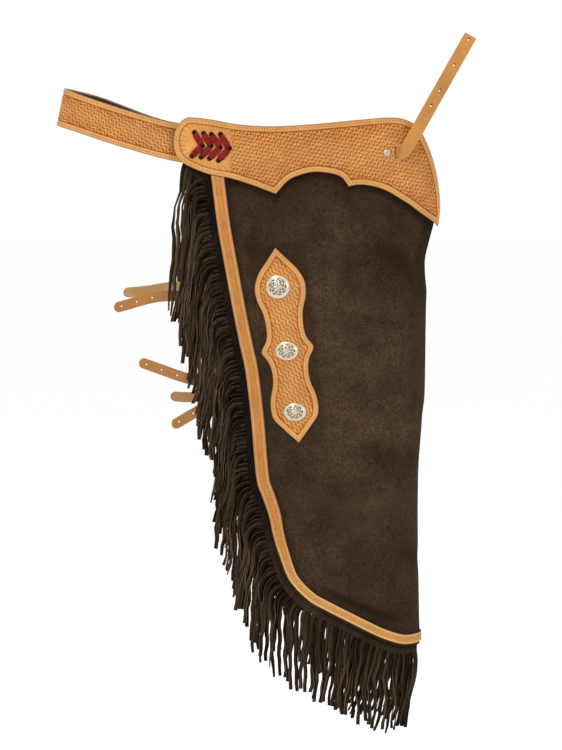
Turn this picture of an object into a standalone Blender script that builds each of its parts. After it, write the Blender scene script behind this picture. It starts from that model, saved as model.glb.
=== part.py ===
"""Leather chaps: two fringed leg panels under tooled yokes, joined by a laced back belt.

The wearer faces +X and Z is up. The right leg lies at negative Y and the left leg mirrors it.
Tables are in millimetres and every mesh is in metres. The origin is the middle of the waist.
"""
import math

import bmesh
import bpy
from mathutils import Matrix, Vector

MM = 0.001

# Leather thicknesses and the clearances between layers
PANEL_THICK = 2.0
YOKE_THICK = 3.0
TRIM_THICK = 2.0
BELT_THICK = 2.5
LINING_THICK = 1.0
FRINGE_THICK = 1.6
LEG_STRAP_THICK = 2.5
FRONT_STRAP_THICK = 3.0
CHAPE_THICK = 2.0
SEAM_GAP = 0.3
TRIM_LIFT = 0.6
YOKE_LIFT = 0.8
YOKE_FACE = YOKE_LIFT + YOKE_THICK
TRIM_FACE = TRIM_LIFT + TRIM_THICK

# Form of a worn leg, one row for each height: the foremost X, the radius of the front turn,
# how far the side stands off the middle plane, and how fast the side bows in towards the back
HEIGHT, FRONT, RADIUS, STAND, BOW = range(5)
FORM_ROWS = (
    (60.0, 287.0, 75.0, 160.0, 0.00040),
    (-60.0, 287.0, 75.0, 160.0, 0.00040),
    (-100.0, 284.0, 75.0, 160.0, 0.00044),
    (-140.0, 274.5, 74.5, 160.0, 0.00048),
    (-180.0, 264.0, 74.0, 159.5, 0.00052),
    (-220.0, 259.0, 72.5, 159.0, 0.00056),
    (-275.0, 257.5, 70.5, 158.0, 0.00060),
    (-377.0, 256.0, 66.5, 154.5, 0.00065),
    (-425.0, 251.5, 64.0, 152.5, 0.00068),
    (-478.0, 247.5, 62.0, 150.5, 0.00071),
    (-536.0, 246.5, 60.5, 149.0, 0.00074),
    (-598.0, 247.0, 59.5, 148.0, 0.00077),
    (-700.0, 249.0, 58.0, 146.0, 0.00080),
    (-745.0, 249.5, 58.0, 146.0, 0.00080),
    (-810.0, 241.0, 53.0, 145.0, 0.00080),
    (-880.0, 229.0, 47.0, 143.0, 0.00080),
)

# Yoke outline on the side of the hip: distance forward, height
YOKE_TOP = (
    (-111.0, -3.5), (-109.0, 10.0), (-103.0, 22.0), (-94.0, 30.0), (-86.0, 32.0), (-57.0, 29.0),
    (-18.0, 22.0), (32.0, 19.0), (91.0, 22.0), (151.0, 27.6), (195.0, 31.3), (213.0, 31.0),
    (226.0, 27.6), (241.0, 19.0), (254.0, 0.0), (269.0, -32.0), (281.0, -70.0), (287.5, -105.0),
)
YOKE_LOW_REAR = (
    (-111.0, -3.5), (-108.5, -19.0), (-98.0, -33.0), (-77.0, -44.0), (-57.0, -51.0),
    (-27.0, -56.6), (2.6, -65.7), (26.0, -74.5), (38.0, -79.0),
)
YOKE_LOW_MIDDLE = (
    (38.0, -79.0), (56.0, -59.5), (74.0, -51.0), (94.0, -47.0), (118.0, -49.3),
    (133.0, -55.0), (143.0, -68.2),
)
YOKE_LOW_FRONT = (
    (143.0, -68.2), (154.0, -65.7), (171.0, -66.3), (195.0, -73.0), (225.0, -90.8),
    (254.0, -110.5), (287.5, -126.5),
)
YOKE_STATIONS = (
    -111.0, -110.0, -107.0, -102.0, -95.0, -86.0, -74.0, -60.0, -45.0, -30.0, -14.0, 2.0, 15.0,
    28.0, 38.0, 47.0, 56.0, 65.0, 76.0, 90.0, 104.0, 118.0, 128.0, 136.0, 143.0, 152.0, 163.0,
    176.0, 190.0, 203.0, 214.0, 225.0, 235.0, 244.0, 253.0, 261.5, 270.0, 277.0, 283.0, 287.5,
)
YOKE_ROWS = 4

# Leg panel outline: its hidden top edge, and the outer edge down the back and round the hem
PANEL_TOP = (
    (-57.0, -39.0), (-12.0, -40.0), (40.0, -33.0), (94.0, -26.0), (143.0, -30.0),
    (171.0, -39.0), (195.0, -50.0), (225.0, -68.0), (254.0, -89.0), (284.0, -111.0),
)
BACK_EDGE = (
    (-57.0, -47.0), (-47.5, -123.0), (-37.0, -182.0), (-26.0, -242.0), (-14.5, -300.0),
    (-7.5, -332.0), (-1.5, -378.0), (3.0, -423.0), (6.5, -468.0), (10.5, -501.0),
    (18.0, -522.0), (26.5, -549.0), (31.5, -576.0), (38.5, -603.0), (54.0, -645.0),
)
HEM_BACK = ((82.0, -675.0), (111.0, -691.5), (138.0, -705.0), (165.0, -718.5), (192.0, -731.0))
# Round the front turn, by the angle turned, the distance past it and the height
HEM_TURN = ((30.0, 0.0, -740.5), (60.0, 0.0, -741.5), (90.0, 0.0, -741.0), (135.0, 0.0, -740.5),
            (180.0, 0.0, -739.5), (180.0, 40.0, -733.0))
INNER_EDGE = (
    (56.0, 0.0, -111.0), (57.0, 0.0, -125.0), (57.0, 0.0, -150.0), (60.0, 0.0, -178.0),
    (75.0, 0.0, -212.0), (108.0, 0.0, -250.0), (150.0, 0.0, -290.0), (180.0, 20.0, -330.0),
    (180.0, 52.0, -385.0), (180.0, 65.0, -450.0), (180.0, 62.0, -540.0), (180.0, 50.0, -630.0),
    (180.0, 42.0, -690.0), (180.0, 40.0, -733.0),
)
PANEL_CORNER = (62.0, -655.0)
PANEL_SIDE_COLUMNS = 7
PANEL_TURN_COLUMNS = 17
PANEL_TURN_SHARE = 0.6
PANEL_ROWS = 20

# Tooled border along the back edge and the hem
BORDER_WIDE = 19.3
BORDER_SIDE_STEP = 24.0
BORDER_TURN_STEP = 11.5

# Fringe: a narrow strip behind the edge and the strands cut from it
FRINGE_DEPTH = -3.9
FRINGE_TOP = ((-98.0, -33.5), (-82.0, -40.5), (-68.0, -46.0), (-59.0, -55.0), (-54.5, -76.0))
STRAND_PITCH = 11.8
STRAND_WIDE = 5.8
STRAND_HEM_WIDE = 9.2
STRAND_TAPER = 0.86
STRAND_STATIONS = (5.0, 16.0)
STRAND_LAYER = 3.1
STRAND_BEND = 9.0
LONG_STRAND = 185.0
BARE_STRIP = (22.0, 52.0)
# Along the strip: distance, margin on the panel, margin outside it, strand length, lean in degrees
ALONG, INSIDE, OUTSIDE, LENGTH, LEAN = range(5)
FRINGE_ROWS = (
    (0.0, 1.5, 4.0, 231.0, -6.0),
    (50.0, 5.0, 8.0, 222.0, -6.2),
    (90.0, 8.0, 10.0, 216.0, -5.0),
    (170.0, 8.0, 10.0, 210.0, -5.5),
    (320.0, 8.0, 10.0, 172.0, -7.0),
    (430.0, 8.0, 10.0, 168.0, -7.0),
    (520.0, 8.0, 10.0, 154.0, -6.0),
    (590.0, 8.0, 10.0, 143.0, -4.0),
    (650.0, 8.0, 10.0, 136.0, 0.0),
    (710.0, 8.0, 10.0, 127.0, 2.0),
    (800.0, 8.0, 10.0, 124.0, 1.0),
    (900.0, 8.0, 10.0, 114.0, 0.0),
    (1080.0, 8.0, 10.0, 110.0, 0.0),
)

# Pointed tooled patch: its axis, and its half width along that axis
PATCH_START = (37.0, -156.5)
PATCH_END = (71.5, -441.0)
PATCH_ROWS = (
    (0.0, 0.4), (17.0, 14.5), (35.0, 29.0), (55.0, 37.0), (75.0, 35.5), (94.0, 29.4),
    (116.0, 27.3), (133.0, 29.7), (149.0, 38.1), (164.0, 30.4), (177.0, 27.0), (196.0, 27.3),
    (217.0, 33.0), (232.0, 34.8), (249.0, 32.0), (265.0, 19.0), (286.0, 0.4),
)
# Conchos: place, width and height of each
CONCHOS = ((41.0, -213.0, 35.5, 34.0), (54.0, -306.0, 34.0, 27.5), (66.0, -395.0, 33.0, 26.5))
CONCHO_RISE = 5.5

# Back belt: plan of its right half behind the yoke, and the height of its middle
BELT_WIDE = 55.5
LINING_WIDE = 50.5
BELT_FRONT_END = -20.0
BELT_LEAVES_YOKE = -112.0
# Turning of the belt in plan: length of a stretch, heading at its end, steps in it
BELT_STRETCHES = ((60.0, 28.0, 4), (105.0, 32.0, 5), (52.5, 90.0, 7))
# Height of its middle and its flare, the share by which its lower edge stands out, by X
BELT_ROWS = (
    (-283.0, 48.0, 0.21), (-190.0, 17.5, 0.1), (-101.0, -5.5, 0.0), (-20.0, -10.5, 0.0),
)
# The left half sits a little higher behind the hip
BELT_LEFT_RISE = 8.0
BELT_LEFT_RISE_AT = -235.0
BELT_LEFT_RISE_REACH = 105.0

# Lacing between yoke and belt: upper hole, tip and lower hole of each chevron
LACE_CHEVRONS = (
    ((-79.8, 10.0), (-68.2, -9.4), (-83.5, -24.2)),
    ((-66.7, 8.7), (-55.4, -9.4), (-70.2, -25.7)),
    ((-55.1, 7.3), (-42.1, -11.6), (-58.0, -27.6)),
    ((-42.1, 7.3), (-29.3, -13.1), (-45.0, -30.5)),
)
LACE_WIDE = 7.0
LACE_THICK = 1.8

# Front fastening: the slot in each yoke, the rivet, the strap and its holes
SLOT_AT = (213.9, -18.9)
SLOT_WIDE = 9.5
SLOT_TALL = 23.5
RIVET_AT = (198.0, -19.2)
RIVET_WIDE = 11.0
RIVET_RISE = 2.6
FRONT_STRAP_WIDE = 18.6
BEHIND_YOKE = YOKE_LIFT - 0.4
# Middle of the strap: X, height, distance out of the flat of the hip
FRONT_STRAP_PATH = (
    (189.0, -19.0, BEHIND_YOKE - 1.5), (199.0, -19.0, BEHIND_YOKE - 1.5),
    (209.5, -19.0, BEHIND_YOKE - 1.5), (212.6, -18.9, 0.4), (214.4, -18.9, 2.8),
    (216.8, -18.8, 6.6), (219.8, -18.2, 9.6), (224.0, -15.0, 12.0), (229.0, -8.0, 14.0),
    (235.0, 3.0, 15.0), (244.0, 19.0, 15.0), (256.0, 40.5, 14.0), (275.0, 74.0, 12.0),
    (293.0, 106.0, 10.0), (317.5, 149.0, 8.0),
)
FRONT_HOLES_FROM_TIP = (7.0, 49.0, 91.0, 116.0)
FRONT_HOLE_WIDE = 5.0

# Leg straps: middle line from the rounded tip to the end stitched inside the panel
LEG_STRAP_WIDE = 15.5
LEG_STRAP_DEPTH = -6.8
LEG_STRAP_SEAT = -PANEL_THICK - SEAM_GAP - 0.1 - LEG_STRAP_THICK / 2
LEG_STRAP_SEAT_LONG = (19.0, 11.0, 0.0)
LEG_STRAP_FREE = -130.0
LEG_STRAPS = {
    "right": (
        ((-207.5, -248.5), (-172.5, -238.5), (-143.0, -231.0), (-118.5, -228.5),
         (-88.0, -227.8), (-45.0, -227.0), (0.0, -227.0)),
        ((-169.0, -327.0), (-133.7, -337.7), (-104.0, -347.2), (-80.7, -352.8),
         (-50.0, -356.0), (-20.0, -357.0), (26.0, -357.0)),
        ((-117.5, -421.0), (-84.0, -400.5), (-60.0, -388.0), (-35.0, -380.0),
         (-10.0, -376.0), (30.0, -375.0)),
    ),
    "left": (
        ((-199.5, -232.0), (-162.5, -229.4), (-131.5, -225.0), (-88.0, -223.0),
         (-45.0, -226.0), (0.0, -227.0)),
        ((-82.0, -350.0), (-55.0, -354.0), (-20.0, -357.0), (26.0, -357.0)),
        ((-125.0, -389.5), (-98.0, -392.0), (-60.0, -391.0), (-30.0, -383.0),
         (-8.0, -377.0), (30.0, -375.0)),
    ),
}

# Plate buckles on short folded chapes at the inner edge of each leg, and one at the front
CHAPE_HEIGHTS = (-352.0, -430.0, -510.0)
CHAPE_WIDE = 15.5
CHAPE_REACH = 26.0
CHAPE_FOLD_AT = 8.5
CHAPE_LEG = 2.6
BUCKLE_THICK = 2.2
BUCKLE_BAR = 3.0
BUCKLE_WINDOWS = (5.4, 10.0)
BUCKLE_INSIDE = 17.0
PRONG_WIDE = 2.6
PRONG_RISE = 3.0
FRONT_SEAT_AT = (205.0, -18.9)
FRONT_CHAPE_REACH = 32.0

# Colours, roughness and metallic share of the finishes
FINISHES = {
    "suede": ((0.045, 0.033, 0.024), 0.95, 0.0),
    "tooled_leather": ((0.60, 0.30, 0.11), 0.45, 0.0),
    "lining": ((0.012, 0.011, 0.010), 0.6, 0.0),
    "lace": ((0.10, 0.012, 0.014), 0.4, 0.0),
    "strap_leather": ((0.60, 0.32, 0.13), 0.5, 0.0),
    "dark_strap": ((0.05, 0.035, 0.025), 0.6, 0.0),
    "silver": ((0.78, 0.77, 0.74), 0.25, 1.0),
}


def read_row(rows, where, column):
    """Smooth value of one column at a place between the rows of a table."""
    rising = rows[0][0] < rows[-1][0]
    ordered = rows if rising else rows[::-1]
    if where <= ordered[0][0]:
        return ordered[0][column]
    if where >= ordered[-1][0]:
        return ordered[-1][column]
    last = len(ordered) - 1
    index = next(i for i in range(last) if where <= ordered[i + 1][0])

    def slope(i):
        low, high = max(i - 1, 0), min(i + 1, last)
        return (ordered[high][column] - ordered[low][column]) / (ordered[high][0] - ordered[low][0])

    start, end = ordered[index], ordered[index + 1]
    span = end[0] - start[0]
    f = (where - start[0]) / span
    rise = end[column] - start[column]
    bend_in = slope(index) * span
    bend_out = slope(index + 1) * span
    return (start[column] + f * bend_in + f * f * (3 * rise - 2 * bend_in - bend_out)
            + f ** 3 * (bend_in + bend_out - 2 * rise))


def form_at(height):
    """Turn centre, radius, stand-off and bow of a leg at a height."""
    radius = read_row(FORM_ROWS, height, RADIUS)
    centre = read_row(FORM_ROWS, height, FRONT) - radius
    return centre, radius, read_row(FORM_ROWS, height, STAND), read_row(FORM_ROWS, height, BOW)


def surface_frame(along, height):
    """Point, outward direction and forward direction of the right leg's surface, in millimetres."""
    centre, radius, stand, bow = form_at(height)
    if along <= centre:
        back = centre - along
        outward = Vector((-2 * bow * back, -1.0, 0.0)).normalized()
        point = Vector((along, bow * back ** 2 - stand, height))
    else:
        angle = min((along - centre) / radius, math.pi)
        past = max(along - centre - math.pi * radius, 0.0)
        outward = Vector((math.sin(angle), -math.cos(angle), 0.0))
        point = Vector((centre + radius * math.sin(angle) - past,
                        radius - stand - radius * math.cos(angle), height))
    forward = Vector((-outward.y, outward.x, 0.0))
    return point, outward, forward


def place(along, height, out=0.0):
    """Point in metres at a distance round the leg, a height and a distance out of its surface."""
    point, outward, _ = surface_frame(along, height)
    return (point + outward * out) * MM


def around(angle, past, height):
    """Distance round the leg, and height, of a point given by its angle on the front turn."""
    centre, radius, _, _ = form_at(height)
    return centre + radius * math.radians(angle) + past, height


class Line:
    """A smooth line through points of the flat pattern, read by the distance along it."""

    def __init__(self, points, steps=12):
        self.points = []
        for index in range(len(points) - 1):
            before = Vector(points[max(index - 1, 0)])
            start, end = Vector(points[index]), Vector(points[index + 1])
            after = Vector(points[min(index + 2, len(points) - 1)])
            for step in range(steps):
                f = step / steps
                self.points.append(0.5 * (2 * start + (end - before) * f
                                          + (2 * before - 5 * start + 4 * end - after) * f ** 2
                                          + (3 * start - before - 3 * end + after) * f ** 3))
        self.points.append(Vector(points[-1]))
        self.marks = [0.0]
        for start, end in zip(self.points, self.points[1:]):
            self.marks.append(self.marks[-1] + (end - start).length)
        self.length = self.marks[-1]

    def at(self, distance):
        """Point at a distance from the start."""
        index = self.index_at(distance)
        start, end = self.points[index], self.points[index + 1]
        share = (distance - self.marks[index]) / (self.marks[index + 1] - self.marks[index])
        return start.lerp(end, share)

    def index_at(self, distance):
        last = len(self.points) - 2
        return next((i for i in range(last) if distance <= self.marks[i + 1]), last)

    def heading(self, distance, reach=3.0):
        """Direction of the line at a distance, over a short reach to both sides."""
        low = max(distance - reach, 0.0)
        high = min(distance + reach, self.length)
        return (self.at(high) - self.at(low)).normalized()

    def inward(self, distance):
        """Direction into the leather, to the left of the heading."""
        heading = self.heading(distance)
        return Vector((-heading.y, heading.x))

    def nearest(self, target):
        """Distance along the line of the point nearest to a target."""
        gaps = [(point - Vector(target)).length for point in self.points]
        return self.marks[gaps.index(min(gaps))]


HEM_POINTS = HEM_BACK + tuple(around(*row) for row in HEM_TURN)
EDGE = Line(PANEL_TOP[:1] + BACK_EDGE + HEM_POINTS)
INNER = Line(tuple(around(*row) for row in INNER_EDGE))
TOP = Line(PANEL_TOP)
STRIP = Line(FRINGE_TOP + BACK_EDGE[1:] + HEM_POINTS)


def start_scene():
    """Empty the scene and make the collections of the chaps and of the cutters."""
    for item in list(bpy.data.objects):
        bpy.data.objects.remove(item, do_unlink=True)
    made = []
    for name in ("leather_chaps", "cutters"):
        collection = bpy.data.collections.new(name)
        bpy.context.scene.collection.children.link(collection)
        made.append(collection)
    return made


CHAPS, CUTTERS = start_scene()


def finish(name):
    """Principled material of one finish, made once."""
    if name in bpy.data.materials:
        return bpy.data.materials[name]
    colour, roughness, metallic = FINISHES[name]
    material = bpy.data.materials.new(name)
    material.use_nodes = True
    shader = material.node_tree.nodes["Principled BSDF"]
    shader.inputs["Base Color"].default_value = (*colour, 1.0)
    shader.inputs["Roughness"].default_value = roughness
    shader.inputs["Metallic"].default_value = metallic
    return material


def add_object(name, mesh, look, smooth=True):
    """Link a mesh as one sub-part with its finish."""
    if look:
        mesh.materials.append(finish(look))
    if smooth:
        mesh.shade_smooth()
        mesh.set_sharp_from_angle(angle=math.radians(35))
    piece = bpy.data.objects.new(name, mesh)
    CHAPS.objects.link(piece)
    return piece


def thicken(piece, thickness, offset=-1.0, even=True):
    """Give an open surface its leather thickness, inwards or to both sides."""
    wall = piece.modifiers.new("leather", "SOLIDIFY")
    wall.thickness = thickness * MM
    wall.offset = offset
    wall.use_even_offset = even
    return piece


def surface(name, look, columns, rows, point_at, thickness, offset=-1.0):
    """Leather wall on a grid: columns run forward round the leg and rows run upwards."""
    build = bmesh.new()
    bmesh.ops.create_grid(build, x_segments=columns, y_segments=rows, size=0.5)
    for vertex in build.verts:
        column = round((vertex.co.x + 0.5) * columns)
        row = round((vertex.co.y + 0.5) * rows)
        vertex.co = point_at(column, row)
    mesh = bpy.data.meshes.new(name)
    build.to_mesh(mesh)
    build.free()
    return thicken(add_object(name, mesh, look), thickness, offset)


def mirrored(piece, name):
    """Left-hand copy of a right-hand piece."""
    mesh = piece.data.copy()
    mesh.name = name
    build = bmesh.new()
    build.from_mesh(mesh)
    bmesh.ops.transform(build, matrix=piece.matrix_basis, verts=build.verts)
    bmesh.ops.scale(build, vec=(1.0, -1.0, 1.0), verts=build.verts)
    bmesh.ops.reverse_faces(build, faces=build.faces)
    build.to_mesh(mesh)
    build.free()
    copy = bpy.data.objects.new(name, mesh)
    CHAPS.objects.link(copy)
    for modifier in piece.modifiers:
        if modifier.type == "SOLIDIFY":
            thicken(copy, modifier.thickness / MM, modifier.offset, modifier.use_even_offset)
    return copy


def both_sides(piece):
    """Mirror a right-hand piece to the left leg."""
    return mirrored(piece, piece.name.replace("right_", "left_", 1))


def seat_matrix(point, forward, up, out):
    """Placing of a flat piece: its X points forward and its Z out of the leather."""
    up = (up - forward * up.dot(forward)).normalized()
    outward = forward.cross(up)
    turn = Matrix((forward, up, outward)).transposed().to_4x4()
    return Matrix.Translation((point + outward * out) * MM) @ turn


def frame_matrix(along, height, out):
    """Placing of a flat piece on the side of the leg, leaning as the leather does there."""
    point, _, forward = surface_frame(along, height)
    reach = 8.0
    up = surface_frame(along, height + reach)[0] - surface_frame(along, height - reach)[0]
    return seat_matrix(point, forward, up, out)


def ribbon(name, look, path, width, thickness):
    """Flat strap along points in metres with their outward directions."""
    last = len(path) - 1

    def point_at(column, row):
        centre, outward = path[column]
        ahead = path[min(column + 1, last)][0]
        behind = path[max(column - 1, 0)][0]
        across = (ahead - behind).cross(outward).normalized()
        return centre + across * width * MM * (row - 0.5)

    return surface(name, look, last, 1, point_at, thickness, 0.0)


def cut(piece, cutter):
    """Cut a hidden cutter out of a piece."""
    CHAPS.objects.unlink(cutter)
    CUTTERS.objects.link(cutter)
    cutter.hide_render = True
    cutter.display_type = "WIRE"
    hole = piece.modifiers.new(cutter.name, "BOOLEAN")
    hole.operation = "DIFFERENCE"
    hole.solver = "EXACT"
    hole.object = cutter


def box_mesh(name, size, centre):
    """Box of a size in millimetres round a centre, as a bmesh moved into a mesh."""
    build = bmesh.new()
    bmesh.ops.create_cube(build, size=1.0)
    bmesh.ops.scale(build, vec=Vector(size) * MM, verts=build.verts)
    bmesh.ops.translate(build, vec=Vector(centre) * MM, verts=build.verts)
    mesh = bpy.data.meshes.new(name)
    build.to_mesh(mesh)
    build.free()
    return mesh


def yoke_low(along):
    """Height of the yoke's scalloped lower edge."""
    for rows in (YOKE_LOW_REAR, YOKE_LOW_MIDDLE, YOKE_LOW_FRONT):
        if along <= rows[-1][0]:
            return read_row(rows, along, 1)
    return YOKE_LOW_FRONT[-1][1]


def make_yoke():
    """Tooled hip yoke with its strap slot, on both sides."""
    def point_at(column, row):
        along = YOKE_STATIONS[column]
        low = yoke_low(along)
        high = max(read_row(YOKE_TOP, along, 1), low + 0.5)
        return place(along, low + (high - low) * row / YOKE_ROWS, YOKE_FACE)

    right = surface("right_yoke", "tooled_leather", len(YOKE_STATIONS) - 1, YOKE_ROWS, point_at,
                    YOKE_THICK)
    left = both_sides(right)
    slot = add_object("right_slot", box_mesh("right_slot", (SLOT_WIDE, SLOT_TALL, 14.0), (0, 0, 0)),
                      None, smooth=False)
    slot.data.transform(frame_matrix(*SLOT_AT, YOKE_FACE - YOKE_THICK / 2))
    left_slot = both_sides(slot)
    cut(right, slot)
    cut(left, left_slot)


def panel_columns():
    """Shares of the way across the panel, closer together where it turns round the front."""
    side = [(1 - PANEL_TURN_SHARE) * i / PANEL_SIDE_COLUMNS for i in range(PANEL_SIDE_COLUMNS)]
    turn = [1 - PANEL_TURN_SHARE * (1 - i / PANEL_TURN_COLUMNS)
            for i in range(PANEL_TURN_COLUMNS + 1)]
    return side + turn


def make_panel():
    """Suede leg panel, open behind, stretched between its four edges, on both sides."""
    corner = EDGE.nearest(PANEL_CORNER)
    shares = panel_columns()

    def point_at(column, row):
        across = shares[column]
        down = 1 - row / PANEL_ROWS
        top = TOP.at(TOP.length * across)
        hem = EDGE.at(corner + (EDGE.length - corner) * across)
        back = EDGE.at(corner * down)
        inner = INNER.at(INNER.length * down)
        corners = ((TOP.at(0.0) * (1 - across) + TOP.at(TOP.length) * across) * (1 - down)
                   + (EDGE.at(corner) * (1 - across) + EDGE.at(EDGE.length) * across) * down)
        flat = top * (1 - down) + hem * down + back * (1 - across) + inner * across - corners
        return place(flat.x, flat.y, 0.0)

    both_sides(surface("right_leg_panel", "suede", len(shares) - 1, PANEL_ROWS, point_at,
                       PANEL_THICK))


def border_marks():
    """Distances along the panel's edge where the border has its stations."""
    mark = EDGE.nearest((BACK_EDGE[0][0], yoke_low(BACK_EDGE[0][0]) - SEAM_GAP))
    turn_starts = EDGE.nearest(HEM_BACK[-1]) - BORDER_SIDE_STEP
    marks = []
    for start, end, step in ((mark, turn_starts, BORDER_SIDE_STEP),
                             (turn_starts, EDGE.length - 0.5, BORDER_TURN_STEP)):
        count = round((end - start) / step)
        marks += [start + (end - start) * i / count for i in range(count)]
    return marks + [EDGE.length - 0.5]


def make_border():
    """Narrow tooled border that butts under the yoke and follows the edge to the hem's inner end."""
    marks = border_marks()

    def point_at(column, row):
        flat = EDGE.at(marks[column]) + EDGE.inward(marks[column]) * BORDER_WIDE * row
        if column == 0:
            flat.y = yoke_low(flat.x) - SEAM_GAP - 0.3
        return place(flat.x, flat.y, TRIM_FACE)

    both_sides(surface("right_border", "tooled_leather", len(marks) - 1, 1, point_at, TRIM_THICK))


def strand_line(root, outward, length, lean):
    """Middle line of one strand: it leaves the strip squarely and bends down to hang."""
    hang = Vector((math.sin(math.radians(lean)), -math.cos(math.radians(lean))))
    steps = round(length / 2.5)
    points = [root.copy()]
    directions = [outward.copy()]
    for step in range(steps):
        travelled = length * (step + 0.5) / steps
        share = math.exp(-travelled / STRAND_BEND)
        direction = (outward * share + hang * (1 - share)).normalized()
        points.append(points[-1] + direction * length / steps)
        directions.append(direction)
    return points, directions


def make_fringe():
    """Strip behind the edge with its strands, one open surface thickened to both sides."""
    count = int(STRIP.length // STRAND_PITCH)
    marks = [STRIP.length * i / count for i in range(count + 1)]
    build = bmesh.new()
    inner_row, root_row = [], []
    for mark in marks:
        flat = STRIP.at(mark)
        inward = STRIP.inward(mark)
        inner = flat + inward * read_row(FRINGE_ROWS, mark, INSIDE)
        root = flat - inward * read_row(FRINGE_ROWS, mark, OUTSIDE)
        inner_row.append(build.verts.new(place(inner.x, inner.y, FRINGE_DEPTH)))
        root_row.append((build.verts.new(place(root.x, root.y, FRINGE_DEPTH)), root))
    for i in range(count):
        build.faces.new((inner_row[i], root_row[i][0], root_row[i + 1][0], inner_row[i + 1]))
        middle = (marks[i] + marks[i + 1]) / 2
        if not BARE_STRIP[0] < middle < BARE_STRIP[1]:
            add_strand(build, root_row[i], root_row[i + 1], middle, i)
    mesh = bpy.data.meshes.new("right_fringe")
    build.to_mesh(mesh)
    build.free()
    fringe = add_object("right_fringe", mesh, "suede", smooth=False)
    both_sides(thicken(fringe, FRINGE_THICK, 0.0, even=False))


def add_strand(build, first, second, mark, index):
    """One tapering strand from the edge between two root points of the strip."""
    heading = STRIP.heading(mark)
    length = read_row(FRINGE_ROWS, mark, LENGTH) * (1 + 0.035 * math.sin(index * 2.4))
    lean = read_row(FRINGE_ROWS, mark, LEAN)
    points, directions = strand_line((first[1] + second[1]) / 2, -STRIP.inward(mark), length, lean)
    upright = min(max((-heading.y - math.cos(math.radians(48))) * 5.0, 0.0), 1.0)
    layer = STRAND_LAYER * (index % 3) * upright
    stations = STRAND_STATIONS if upright > 0 else STRAND_STATIONS[1:]
    shares = [station / length for station in stations]
    if length > LONG_STRAND:
        shares.append(0.55)
    shares.append(1.0)
    widest = STRAND_HEM_WIDE + (STRAND_WIDE - STRAND_HEM_WIDE) * upright
    depth = FRINGE_DEPTH + layer
    left, right = first[0], second[0]
    for share in shares:
        step = round(share * (len(points) - 1))
        side = Vector((-directions[step].y, directions[step].x))
        width = widest * (1 + (STRAND_TAPER - 1) * share)
        low, high = points[step] - side * width / 2, points[step] + side * width / 2
        next_left = build.verts.new(place(low.x, low.y, depth))
        next_right = build.verts.new(place(high.x, high.y, depth))
        build.faces.new((left, next_left, next_right, right))
        left, right = next_left, next_right


def make_patch():
    """Pointed tooled patch on the side of each leg."""
    start, end = Vector(PATCH_START), Vector(PATCH_END)
    axis = (end - start).normalized()
    across = Vector((-axis.y, axis.x))

    def point_at(column, row):
        mark, half = PATCH_ROWS[len(PATCH_ROWS) - 1 - row]
        flat = start + axis * mark + across * half * (column - 1)
        return place(flat.x, flat.y, TRIM_FACE)

    both_sides(surface("right_patch", "tooled_leather", 2, len(PATCH_ROWS) - 1, point_at,
                       TRIM_THICK))


def turned(name, look, profile, steps):
    """Turned piece from a profile of radius and height, run down its outer side."""
    mesh = bpy.data.meshes.new(name)
    mesh.from_pydata([(radius * MM, 0.0, height * MM) for radius, height in profile],
                     [(i, i + 1) for i in range(len(profile) - 1)], [])
    piece = add_object(name, mesh, None, smooth=False)
    turning = piece.modifiers.new("turning", "SCREW")
    turning.steps = turning.render_steps = steps
    turning.use_merge_vertices = True
    turning.merge_threshold = 0.0001
    solid = bpy.data.meshes.new_from_object(
        piece.evaluated_get(bpy.context.evaluated_depsgraph_get()))
    bpy.data.objects.remove(piece)
    solid.name = name
    return add_object(name, solid, look)


def make_conchos():
    """Three domed conchos on each patch, the upper one round and the lower two oval."""
    half = 17.4
    profile = ((0.0, CONCHO_RISE), (7.0, CONCHO_RISE * 0.93), (12.5, CONCHO_RISE * 0.7),
               (16.0, CONCHO_RISE * 0.36), (half, 0.9), (half, 0.0), (0.0, 0.0))
    for number, (along, height, wide, tall) in enumerate(CONCHOS, 1):
        concho = turned(f"right_concho_{number}", "silver", profile, 18)
        concho.data.transform(Matrix.Diagonal((wide / 2 / half, tall / 2 / half, 1.0, 1.0)))
        concho.data.transform(frame_matrix(along, height, TRIM_FACE + SEAM_GAP + 0.15))
        both_sides(concho)


def make_rivets():
    """Domed rivet that holds each front piece behind its yoke."""
    half = RIVET_WIDE / 2
    profile = ((0.0, RIVET_RISE), (half * 0.55, RIVET_RISE * 0.85), (half * 0.9, RIVET_RISE * 0.45),
               (half, 0.3), (half, 0.0), (0.0, 0.0))
    rivet = turned("right_front_rivet", "silver", profile, 14)
    rivet.data.transform(frame_matrix(*RIVET_AT, YOKE_FACE + SEAM_GAP))
    both_sides(rivet)


def make_laces():
    """Flat lacing chevrons between the yoke and the belt."""
    for number, corners in enumerate(LACE_CHEVRONS, 1):
        top, tip, bottom = (Vector(corner) for corner in corners)
        first, second = (tip - top).normalized(), (bottom - tip).normalized()
        across = [Vector((first.y, -first.x)), Vector((second.y, -second.x))]
        mitre = (across[0] + across[1]).normalized()
        mitre /= mitre.dot(across[0])
        stations = ((bottom, across[1]), (bottom.lerp(tip, 0.5), across[1]), (tip, mitre),
                    (top.lerp(tip, 0.5), across[0]), (top, across[0]))

        def point_at(column, row, stations=stations):
            middle, side = stations[row]
            flat = middle - side * LACE_WIDE * (column - 0.5)
            return place(flat.x, flat.y, YOKE_FACE + SEAM_GAP + LACE_THICK)

        both_sides(surface(f"right_lace_{number}", "lace", 1, 4, point_at, LACE_THICK))


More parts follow.
